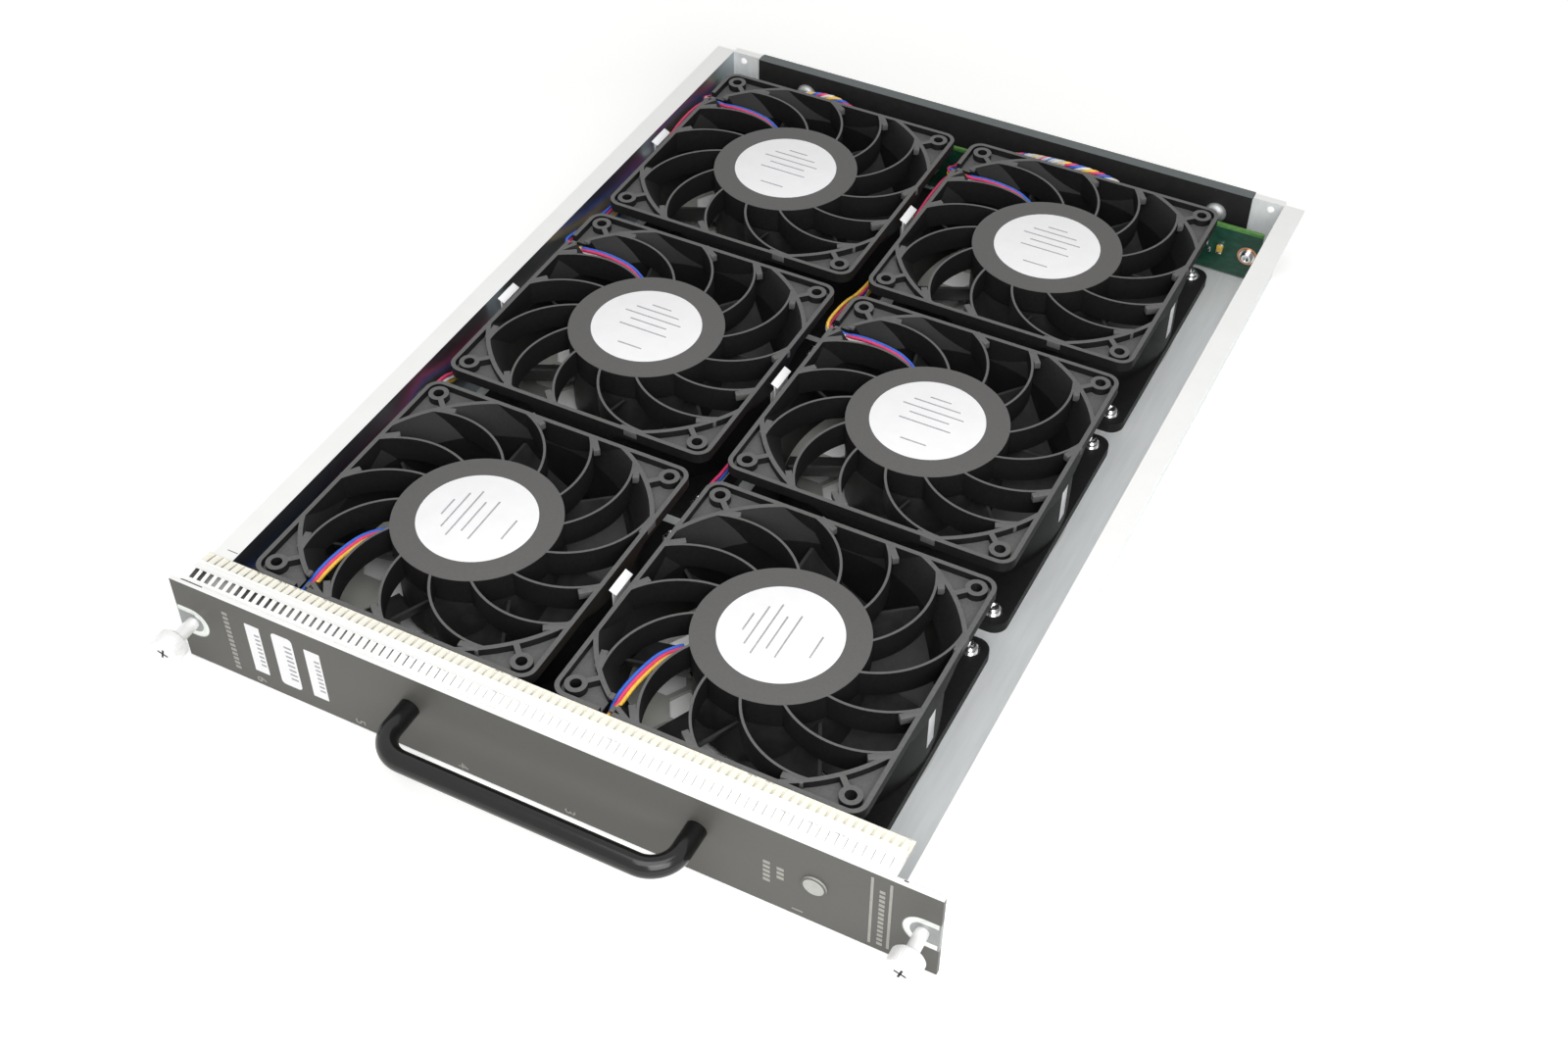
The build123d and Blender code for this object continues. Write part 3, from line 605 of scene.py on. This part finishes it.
def label(n):
    """A round label, blank but for plain bars where a print would be."""
    place = fan_place(n) @ at(0, 0, FAN_TOP)
    bm = bmesh.new()
    inward, down = LABEL_EDGE
    profile = [(LABEL_R, HUB_RISE), (LABEL_R, LABEL_RISE - down), (LABEL_R - inward, LABEL_RISE),
               (0, LABEL_RISE)]
    lathe(bm, profile, place, steps=ROUND_STEPS)
    piece(f"fan_{n}_label", bm, LABEL_PAPER)
    bm = bmesh.new()
    for y, width in LABEL_BARS:
        size = (width * MM, LABEL_BAR_W, LABEL_BAR_T)
        block(bm, size, place @ at(0, y * MM, LABEL_RISE), LABEL_BAR_EDGE)
    piece(f"fan_{n}_label_bars", bm, PRINT_INK)


def vane_end(start):
    """Where a guide vane's arc leaves the fan's opening: X away from the arc, Y along it."""
    arc = Matrix.Rotation(start, 4, "Z") @ Matrix.Translation(VANE_ARC_CENTRE)
    angle = VANE_ARC_START
    inside = True
    while inside:
        angle += VANE_ARC_STEP
        end = arc @ Matrix.Rotation(angle, 4, "Z") @ at(VANE_ARC_R, 0, 0)
        spot = end.translation
        inside = spot.length < OPENING_R and max(abs(spot.x), abs(spot.y)) < OPENING_HALF
    return end


def vane_feet(n):
    """The short step beside each vane's outer end, and the lips over the lead's notch."""
    bm = bmesh.new()
    for i in range(VANE_COUNT):
        end = vane_end(VANE_START + i * math.tau / VANE_COUNT)
        beside = at(FOOT_WIDTH / 2, -FOOT_LENGTH / 2, FAN_TOP + FOOT_RISE - FOOT_HEIGHT / 2)
        block(bm, (FOOT_WIDTH, FOOT_LENGTH, FOOT_HEIGHT), fan_place(n) @ end @ beside, FOOT_EDGE)
    lip_z = FAN_TOP + FOOT_RISE - LIP_SIZE[2] / 2
    for x, y in LIP_SPOTS:
        block(bm, LIP_SIZE, fan_place(n) @ at(x * MM, y * MM, lip_z), FOOT_EDGE)
    # The feet and lips wear the lighter grey of the lit tops: painted light
    piece(f"fan_{n}_vane_feet", bm, FAN_LIT_TOP)


def pan_head(bm, place, radius, height):
    """A small pan-head screw on a washer, with a recess."""
    wide = radius * WASHER_SHARE
    profile = [(wide, 0), (wide, WASHER_T), (radius, WASHER_T)]
    profile += [(radius * across, height * up) for across, up in PAN_PROFILE]
    lathe(bm, profile, place, steps=SCREW_STEPS)


def fan_screws(n):
    """Screws through the lower flange into the floor."""
    place = fan_place(n)
    bm = bmesh.new()
    for corner in corners():
        pan_head(bm, place @ corner @ at(0, 0, LOWER_FLANGE_TOP), FAN_SCREW_R, FAN_SCREW_H)
    piece(f"fan_{n}_screws", bm, BRIGHT)


def side_sticker(n):
    """A blank sticker on the barrel, on the side that faces right."""
    low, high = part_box(f"fan_{n}_frame")
    bm = bmesh.new()
    place = at((low.x + high.x) / 2 + BARREL_R, (low.y + high.y) / 2, STICKER_Z)
    block(bm, STICKER_SIZE, place, STICKER_EDGE)
    piece(f"fan_{n}_sticker", bm, LABEL_PAPER)


def lead_route(n):
    """The route's points for one fan's lead: hub, notch, lane, back bay, header."""
    column = -1 if n % 2 else 1
    row = (n - 1) // 2 - 1
    place = fan_place(n)
    centre = place.translation
    lane = LEAD_LANES[column]
    lane_z = LEAD_Z + (row - 1) * LEAD_LANE_STEP
    start = HUB_SURFACE_R + LEAD_W / 2
    points = [(start * math.cos(LEAD_HUB_ANGLE), start * math.sin(LEAD_HUB_ANGLE), LEAD_Z)]
    points += [(x * MM, y * MM, z * MM) for x, y, z in LEAD_NEAR_HUB]
    points = [place @ Vector(p) for p in points]
    if row < 0:
        front = centre.y - FAN_HALF - LEAD_FRONT
        points += [(centre.x - LEAD_NOTCH, front, LEAD_Z), (lane, front, lane_z)]
    else:
        points += [(lane, centre.y + LEAD_NOTCH, LEAD_Z)]
    points += [(lane, y * MM, z * MM) for y, z in LEAD_IN_LANE[n]]
    points += [(lane, BAY_Y, lane_z - LEAD_CORNER_DROP)]
    points += [(x * MM, BAY_Y, z * MM) for x, z in LEAD_IN_BAY.get(n, ())]
    header = lane + HEADER_START + (row + 1) * HEADER_STEP
    header_top = LEAD_Z - 2 * LEAD_LANE_STEP - HEADER_DROP
    points += [(header, BAY_Y, lane_z - LEAD_CORNER_DROP), (header, BAY_Y, header_top)]
    return [Vector(p) for p in points]


def smooth_line(points):
    """Points along the smooth spline that a route controls."""
    curve = bpy.data.curves.new("route", "CURVE")
    curve.dimensions = "3D"
    spline = curve.splines.new("NURBS")
    spline.points.add(len(points) - 1)
    for spot, p in zip(spline.points, points):
        spot.co = (*p, 1)
    spline.order_u = 3
    spline.use_endpoint_u = True
    spline.resolution_u = ROUTE_STEPS
    holder = bpy.data.objects.new("route", curve)
    bpy.context.scene.collection.objects.link(holder)
    mesh = bpy.data.meshes.new_from_object(holder)
    line = [v.co.copy() for v in mesh.vertices]
    bpy.data.objects.remove(holder)
    bpy.data.curves.remove(curve)
    bpy.data.meshes.remove(mesh)
    return line


def tube(name, spots, radius, made):
    """A round piece along a list of points."""
    curve = bpy.data.curves.new(name, "CURVE")
    curve.dimensions = "3D"
    curve.bevel_depth = radius
    curve.bevel_resolution = 3
    curve.use_fill_caps = True
    spline = curve.splines.new("POLY")
    spline.points.add(len(spots) - 1)
    for point, spot in zip(spline.points, spots):
        point.co = (*spot, 1)
    curve.materials.append(made)
    obj = bpy.data.objects.new(name, curve)
    bpy.context.scene.collection.objects.link(obj)
    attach(obj, "tray")
    return obj


def strand(line, lane, red_up, order, ribbon):
    """The points of one wire: beside the others at the hub, then wound round the lead's line."""
    spots = []
    run = 0.0
    for i, spot in enumerate(line):
        ahead = line[min(i + 1, len(line) - 1)] - line[max(i - 1, 0)]
        side = ahead.cross(Vector((0, 0, 1)))
        if side.length < 1e-9:
            side = Vector((1, 0, 0))
        side.normalize()
        up = side.cross(ahead).normalized()
        if i:
            run += (spot - line[i - 1]).length
        flat = min(1.0, max(0.0, 1.0 - (run - RIBBON_RUN) / RIBBON_FADE))
        turns = (spot.x - lane) / BAY_TWIST + (spot.y - red_up) / LANE_TWIST + order / len(WIRES)
        in_bay = min(1.0, max(0.0, 1.0 - (BAY_Y - spot.y) / BAY_FADE))
        wide = LANE_SPREAD[0] + in_bay * (WIRE_SPREAD - LANE_SPREAD[0])
        high = LANE_SPREAD[1] + in_bay * (WIRE_SPREAD - LANE_SPREAD[1])
        wound = wide * math.cos(math.tau * turns) * side + high * math.sin(math.tau * turns) * up
        beside = WIRE_STEP * (ribbon[0] * side + ribbon[1] * up)
        spots.append(spot + beside.lerp(wound, 1 - flat))
    return spots


def flag(bm, y, line, lane):
    """A blank paper flag folded round a lead where it passes the next fan."""
    spot = min((p for p in line if abs(p.x - lane) < LEAD_W), key=lambda p: abs(p.y - y))
    stem_top = FAN_TOP - FLAG_DROP
    height = stem_top - spot.z
    block(bm, (FLAG_T, FLAG_LENGTH, height), at(lane, y, spot.z + height / 2), FLAG_EDGE)
    leaf = at(lane, y, stem_top) @ Matrix.Rotation(FLAG_TILT, 4, "Y")
    block(bm, (FLAG_W, FLAG_LENGTH, FLAG_T), leaf, FLAG_EDGE)
    wrap = [(SLEEVE_R, -FLAG_LENGTH / 2), (SLEEVE_R + FLAG_T, -FLAG_LENGTH / 2),
            (SLEEVE_R + FLAG_T, FLAG_LENGTH / 2), (SLEEVE_R, FLAG_LENGTH / 2)]
    lathe(bm, wrap, at(lane, y, spot.z) @ Matrix.Rotation(-math.pi / 2, 4, "X"), steps=FLAG_STEPS)


def lead(n):
    """A fan's four wires in place of the plain bundle, with its flag or sleeve."""
    line = smooth_line(lead_route(n))
    column = -1 if n % 2 else 1
    lane = LEAD_LANES[column]
    red_up = RED_UP_Y[(n - 1) // 2 - 1]
    ribbon = FRONT_RIBBON if n <= 2 else REAR_RIBBON
    for order, colour in enumerate(WIND_ORDER[column]):
        spots = strand(line, lane, red_up, order, ribbon[colour])
        wire = tube(f"fan_{n}_wire_{colour}", spots, WIRE_R, WIRES[colour])
        if order == 0:
            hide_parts(f"fan_{n}_lead")
    if n in FLAG_Y:
        bm = bmesh.new()
        for y in FLAG_Y[n]:
            flag(bm, y * MM, line, lane)
        piece(f"fan_{n}_lead_flag", bm, LABEL_PAPER)
    if n in SLEEVES:
        low, high = SLEEVES[n]
        covered = [p for p in line if low < p.x < high and p.y > BAY_Y - LEAD_W]
        tube(f"fan_{n}_lead_sleeve", covered, SLEEVE_R, SLEEVE)


def finger_row(bm, pitch, bands, slot_width):
    """One row of spring fingers: plain, slotted and plain bands over the strip's bow."""
    depth = GASKET_HIGH.y - GASKET_LOW.y
    rise = GASKET_HIGH.z - GASKET_LOW.z
    length = GASKET_HIGH.x - GASKET_LOW.x
    count = round(length / pitch)
    for i in range(count):
        low = GASKET_LOW.x + i * length / count
        end = GASKET_LOW.x + (i + 1) * length / count
        for j, (near, far) in enumerate(zip(bands, bands[1:])):
            high = end - slot_width(i / count) if j == 1 else end
            sides = [(low, near), (high, near), (high, far), (low, far)]
            bm.faces.new([bm.verts.new((x, GASKET_LOW.y + depth * share,
                                        GASKET_LOW.z + rise * math.sin(math.pi * share)))
                          for x, share in sides])


def gasket():
    """Spring strip with two rows of slots between its fingers; the front slots close up to the right."""
    def front_slot(share):
        widest, narrowest = FRONT_SLOT_W
        return widest + (narrowest - widest) * min(1.0, share / FRONT_SLOT_FADE)

    def rear_slot(share):
        return REAR_SLOT_W

    bm = bmesh.new()
    finger_row(bm, FRONT_PITCH, FRONT_BANDS, front_slot)
    finger_row(bm, REAR_PITCH, REAR_BANDS, rear_slot)
    bmesh.ops.remove_doubles(bm, verts=bm.verts, dist=GASKET_WELD)
    bmesh.ops.solidify(bm, geom=list(bm.faces), thickness=GASKET_T)
    strip = piece("gasket_fingers", bm, SPRING)
    # The rear row takes the warmer, darker copy of the metal: painted shade
    strip.data.materials.append(SPRING_REAR_SHADE)
    for face in strip.data.polygons:
        if face.center.y > GASKET_REAR_Y:
            face.material_index = 1
    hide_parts("gasket_strip")


def panel_numbers():
    """Plain slot numbers along the panel's lower edge, lying on their sides."""
    sideways = Matrix(((0, 1, 0, 0), (0, 0, -1, 0), (-1, 0, 0, 0), (0, 0, 0, 1)))
    for i in range(SLOT_NUMBERS):
        text = bpy.data.curves.new(f"slot_number_{i + 1}", "FONT")
        text.body = str(i + 1)
        text.size = NUMBER_SIZE
        text.align_x = "CENTER"
        text.align_y = "CENTER"
        text.extrude = PRINT_RISE / 2
        text.materials.append(PANEL_INK)
        obj = bpy.data.objects.new(f"slot_number_{i + 1}", text)
        bpy.context.scene.collection.objects.link(obj)
        spot = at(NUMBER_X + i * NUMBER_PITCH, PANEL_LOW.y - PRINT_RISE / 2, NUMBER_Z)
        obj.matrix_world = spot @ sideways
        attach(obj, "tray")


def plate(bm, x0, x1, z0, z1, corner, rise):
    """A thin plate on the panel's face, with round corners."""
    size = ((x1 - x0) * MM, (z1 - z0) * MM)
    middle = at((x0 + x1) / 2 * MM, PANEL_LOW.y, (z0 + z1) / 2 * MM)
    place = middle @ Matrix.Rotation(math.pi / 2, 4, "X")
    made = bmesh.ops.create_cube(bm, size=1.0, matrix=place @ Matrix.Diagonal((*size, 2 * rise, 1)))
    edges = {e for v in made["verts"] for e in v.link_edges}
    upright = [e for e in edges if abs((e.verts[0].co - e.verts[1].co).y) > rise]
    bmesh.ops.bevel(bm, geom=upright, offset=corner * MM, segments=4, profile=0.5, affect="EDGES")


def panel_print():
    """Blank stickers, printed rules, and plain bars where the panel has words."""
    stickers = bmesh.new()
    sticker_bars = bmesh.new()
    for x0, x1, z0, z1, corner in STICKERS:
        plate(stickers, x0, x1, z0, z1, corner, PRINT_RISE)
        left, right = [x0 * (1 - share) + x1 * share for share in STICKER_BAR_SPAN]
        for i in range(STICKER_BARS):
            z = z0 + (z1 - z0) * (STICKER_BAR_START + STICKER_BAR_SHARE * i)
            plate(sticker_bars, left, right, z, z + STICKER_BAR_H, BAR_CORNER, STICKER_BAR_RISE)
    piece("panel_stickers", stickers, LABEL_PAPER)
    piece("panel_sticker_bars", sticker_bars, PRINT_INK)
    print_bars = bmesh.new()
    for x, low, high in RULES:
        plate(print_bars, x - RULE_HALF, x + RULE_HALF, low, high, BAR_CORNER, PRINT_RISE)
    for x, low, high, width in BARS:
        count = int((high - low) * MM / BAR_PITCH)
        for i in range(count):
            z = low + i * BAR_PITCH / MM
            top = z + BAR_LENGTH / MM
            plate(print_bars, x - width / 2, x + width / 2, z, top, BAR_CORNER, PRINT_RISE)
    piece("panel_bars", print_bars, PANEL_INK)


def lens_bezel():
    """A ring in the panel's colour over the rim of the status lens."""
    low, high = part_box("status_lens")
    radius = (high.z - low.z) / 2
    face = at((low.x + high.x) / 2, low.y, (low.z + high.z) / 2) @ Matrix.Rotation(math.pi / 2, 4, "X")
    inner = radius * BEZEL_INNER
    outer = radius * BEZEL_OUTER
    profile = [(inner, -BEZEL_DEPTH), (inner, BEZEL_RISE), (outer, BEZEL_RISE), (outer, -BEZEL_DEPTH)]
    bm = bmesh.new()
    lathe(bm, profile, face, steps=BEZEL_STEPS)
    piece("lens_bezel", bm, PANEL_PAINT)


def seams():
    """Dark gaps at the panel's ears and across the left flange."""
    bm = bmesh.new()
    back = PANEL_HIGH.y - SEAM_INSET
    for length, x in EAR_SEAMS:
        block(bm, (length * MM, EAR_SEAM_W, SEAM_H), at(x * MM, back, PANEL_HIGH.z), SEAM_EDGE)
    length, width, x, y = FLANGE_SEAM
    block(bm, (length, width, SEAM_H), at(x, y, FAN_TOP), SEAM_EDGE)
    piece("seams", bm, SEAM_AND_RECESS_SHADE)


def captive_screw(side):
    """Knurled knob with its cross recess painted dark as shade, plain neck, groove and threaded end."""
    low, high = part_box(f"{side}_screw")
    knob_r = (high.z - low.z) / 2
    place = at((low.x + high.x) / 2, low.y, (low.z + high.z) / 2) @ Matrix.Rotation(-math.pi / 2, 4, "X")
    clip_front, clip_back = CLIP_SPAN
    end = high.y - low.y
    profile = [(radius * MM, depth * MM) for radius, depth in KNOB_DISH]
    profile += [(knob_r - KNOB_CHAMFER, 0), (knob_r, KNOB_CHAMFER),
                (knob_r, KNOB_LENGTH - KNOB_CHAMFER), (knob_r - KNOB_CHAMFER, KNOB_LENGTH),
                (NECK_R, KNOB_LENGTH), (NECK_R, clip_front),
                (GROOVE_R, clip_front), (GROOVE_R, clip_back), (NECK_R, clip_back)]
    turns = int((end - clip_back - THREAD_PITCH) / THREAD_PITCH)
    for i in range(turns):
        z = clip_back + (i + 0.5) * THREAD_PITCH
        profile += [(NECK_R - THREAD_DEPTH, z), (NECK_R, z + THREAD_PITCH / 2)]
    profile += [(NECK_R - END_TAPER, end), (0, end)]
    bm = bmesh.new()
    lathe(bm, profile, place, steps=SCREW_SIDES)
    ridge = (*RIDGE_SIZE, KNOB_LENGTH - 2 * KNOB_CHAMFER)
    for i in range(RIDGES):
        turn = Matrix.Rotation(i * math.tau / RIDGES, 4, "Z")
        block(bm, ridge, place @ turn @ at(knob_r, 0, KNOB_LENGTH / 2), RIDGE_EDGE)
    screw = piece(f"{side}_screw_detail", bm, KNOB_METAL, f"{side}_screw_knob")
    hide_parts(f"{side}_screw")
    # The cross recess drawn as a dark cross just below the face: painted shade
    cross = bmesh.new()
    for angle in (CROSS_TURN, CROSS_TURN + math.pi / 2):
        arm = Matrix.Rotation(angle, 4, "Z") @ at(0, 0, CROSS_DEPTH)
        block(cross, CROSS_SIZE, place @ arm, CROSS_EDGE)
    piece(f"{side}_screw_cross_shade", cross, SEAM_AND_RECESS_SHADE, f"{side}_screw_knob")


def ferrule_rim(side):
    """The rounded rim of a ferrule, which follows the panel's notch out to its end."""
    low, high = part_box(f"{side}_screw")
    out = -1 if side == "left" else 1
    centre = Vector(((low.x + high.x) / 2, PANEL_LOW.y + RIM_TUBE_R - RIM_PROUD, (low.z + high.z) / 2))
    reach = NOTCH_R - RIM_WIDTH / 2
    spots = [centre + Vector((out * RIM_ARM, 0, reach))]
    for i in range(RIM_STEPS + 1):
        angle = math.pi / 2 + i * math.pi / RIM_STEPS
        spots.append(centre + reach * Vector((out * math.cos(angle), 0, math.sin(angle))))
    spots.append(centre + Vector((out * RIM_ARM, 0, -reach)))
    rim = tube(f"{side}_ferrule_rim", spots, RIM_TUBE_R, INSERT)


def back_screws():
    """Two dome heads on the black backing, and the board's own screws on copper rings."""
    bm = bmesh.new()
    dome = [(radius * MM, height * MM) for radius, height in DOME_PROFILE]
    for x, z in DOMES:
        face = at(x * MM, BACKING_LOW.y, z * MM) @ Matrix.Rotation(math.pi / 2, 4, "X")
        lathe(bm, dome, face, steps=DOME_STEPS)
    piece("back_domes", bm, SATIN)
    heads = bmesh.new()
    rings = bmesh.new()
    z = (POST_LOW.z + POST_HIGH.z) / 2
    outer, inner = RING_R
    for x in POST_X:
        face = at(x * MM, BOARD_LOW.y, z) @ Matrix.Rotation(math.pi / 2, 4, "X")
        lathe(rings, [(outer, 0), (outer, RING_T), (inner, RING_T), (inner, 0)], face)
        pan_head(heads, face, BOARD_SCREW_R, BOARD_SCREW_H)
    piece("board_screws", heads, BRIGHT)
    piece("board_rings", rings, COPPER)


def board_parts():
    """A few small parts on the board where it shows past the last fan and between the fans, and a lighter
    green strip along its top edge as painted light.
    """
    caps = bmesh.new()
    ends = bmesh.new()
    for x in CAP_X:
        block(caps, CAP_SIZE, at(x * MM, BOARD_LOW.y - CAP_SIZE[1] / 2, CAP_Z), CAP_EDGE)
        for rise in (-CAP_END_RISE, CAP_END_RISE):
            spot = at(x * MM, BOARD_LOW.y - CAP_END_SIZE[1] / 2, CAP_Z + rise)
            block(ends, CAP_END_SIZE, spot, CAP_END_EDGE)
    for x, z in CHIPS:
        block(ends, CHIP_SIZE, at(x * MM, BOARD_LOW.y - CHIP_SIZE[1] / 2, z * MM), CHIP_EDGE)
    # A lighter green strip along the board's upper front edge: painted light
    edge = bmesh.new()
    edge_size = (BOARD_HIGH.x - BOARD_LOW.x, TOP_STRIP_T, TOP_STRIP_H)
    edge_spot = at((BOARD_LOW.x + BOARD_HIGH.x) / 2, BOARD_LOW.y, BOARD_HIGH.z - TOP_STRIP_H / 2)
    block(edge, edge_size, edge_spot, TOP_STRIP_EDGE)
    piece("board_lit_strip", edge, BOARD_LIT_EDGE)
    piece("board_capacitors", caps, AMBER)
    piece("board_part_ends", ends, BRIGHT)


def show_when_seen(tree, unseen, seen, socket):
    """One strength for the light on things, another for what is seen directly, mirrored or through."""
    path = tree.nodes.new("ShaderNodeLightPath")
    direct = operate(tree, "Math", "MAXIMUM", path.outputs["Is Camera Ray"], path.outputs["Is Glossy Ray"])
    either = operate(tree, "Math", "MAXIMUM", direct.outputs[0], path.outputs["Is Transmission Ray"])
    level = tree.nodes.new("ShaderNodeMapRange")
    level.inputs["To Min"].default_value = unseen
    level.inputs["To Max"].default_value = seen
    tree.links.new(either.outputs[0], level.inputs["Value"])
    tree.links.new(level.outputs["Result"], socket)


def brighten_far_floor(tree, socket):
    """Lift the floor to white far from the object, little near it, and not at all under the tray."""
    place = tree.nodes.new("ShaderNodeTexCoord")
    reach = operate(tree, "VectorMath", "LENGTH", place.outputs["Object"])
    lift = tree.nodes.new("ShaderNodeMapRange")
    lift.inputs["From Min"].default_value, lift.inputs["From Max"].default_value = FLOOR_LIFT_REACH
    lift.inputs["To Min"].default_value, lift.inputs["To Max"].default_value = FLOOR_LIFT
    tree.links.new(reach.outputs["Value"], lift.inputs["Value"])
    share = operate(tree, "VectorMath", "DIVIDE", place.outputs["Object"], SHADED_HALF)
    size = operate(tree, "VectorMath", "ABSOLUTE", share.outputs["Vector"])
    split = tree.nodes.new("ShaderNodeSeparateXYZ")
    tree.links.new(size.outputs["Vector"], split.inputs["Vector"])
    larger = operate(tree, "Math", "MAXIMUM", split.outputs["X"], split.outputs["Y"])
    outside = operate(tree, "Math", "GREATER_THAN", larger.outputs[0], 1.0)
    open_floor = operate(tree, "Math", "MULTIPLY", lift.outputs["Result"], outside.outputs[0])
    both = operate(tree, "Math", "MULTIPLY", open_floor.outputs[0], socket.links[0].from_socket)
    tree.links.new(both.outputs[0], socket)


def stage():
    """Pale floor, white surround, soft light from above, and the photograph's camera."""
    mesh = bpy.data.meshes.new("floor")
    bm = bmesh.new()
    bmesh.ops.create_grid(bm, x_segments=1, y_segments=1, size=FLOOR_HALF)
    bm.to_mesh(mesh)
    bm.free()
    floor = bpy.data.objects.new("floor", mesh)
    floor.location.z = -FLOOR_DROP
    paint = material("floor", (0.97, 0.97, 0.96), 0.8, vary=0.005, grain=5, bump=0.0)
    shader = paint.node_tree.nodes["Principled BSDF"]
    shader.inputs["Emission Color"].default_value = FLOOR_GLOW
    show_when_seen(paint.node_tree, 0.0, 1.0, shader.inputs["Emission Strength"])
    brighten_far_floor(paint.node_tree, shader.inputs["Emission Strength"])
    mesh.materials.append(paint)
    bpy.context.scene.collection.objects.link(floor)

    world = bpy.data.worlds.new("surround")
    bpy.context.scene.world = world
    world.use_nodes = True
    background = world.node_tree.nodes["Background"]
    background.inputs["Color"].default_value = (1, 1, 1, 1)
    show_when_seen(world.node_tree, SKY_LIGHT, 1.0, background.inputs["Strength"])

    for name, spot, size, power in LAMPS:
        lamp = bpy.data.lights.new(name, "AREA")
        lamp.size = size
        lamp.energy = power
        obj = bpy.data.objects.new(name, lamp)
        obj.location = spot
        obj.rotation_euler = (-Vector(spot)).to_track_quat("-Z", "Y").to_euler()
        bpy.context.scene.collection.objects.link(obj)

    lens = bpy.data.cameras.new("camera")
    lens.sensor_fit = "HORIZONTAL"
    lens.sensor_width = SENSOR
    lens.lens = CAMERA_LENS
    camera = bpy.data.objects.new("camera", lens)
    forward = Vector(CAMERA_FORWARD)
    right = Vector(CAMERA_RIGHT)
    up = right.cross(forward)
    turn = Matrix((right, up, -forward)).transposed().to_4x4()
    camera.matrix_world = Matrix.Translation(CAMERA_AT) @ turn
    bpy.context.scene.collection.objects.link(camera)
    bpy.context.scene.camera = camera
    bpy.context.scene.view_settings.view_transform = "Standard"


finish_frame()
edge_finishes()
for fan in FAN_NUMBERS:
    hub_lit_top(fan)
    label(fan)
    vane_feet(fan)
    fan_screws(fan)
    side_sticker(fan)
    lead(fan)
gasket()
panel_numbers()
panel_print()
lens_bezel()
seams()
for end in ("left", "right"):
    captive_screw(end)
    ferrule_rim(end)
back_screws()
board_parts()
stage()
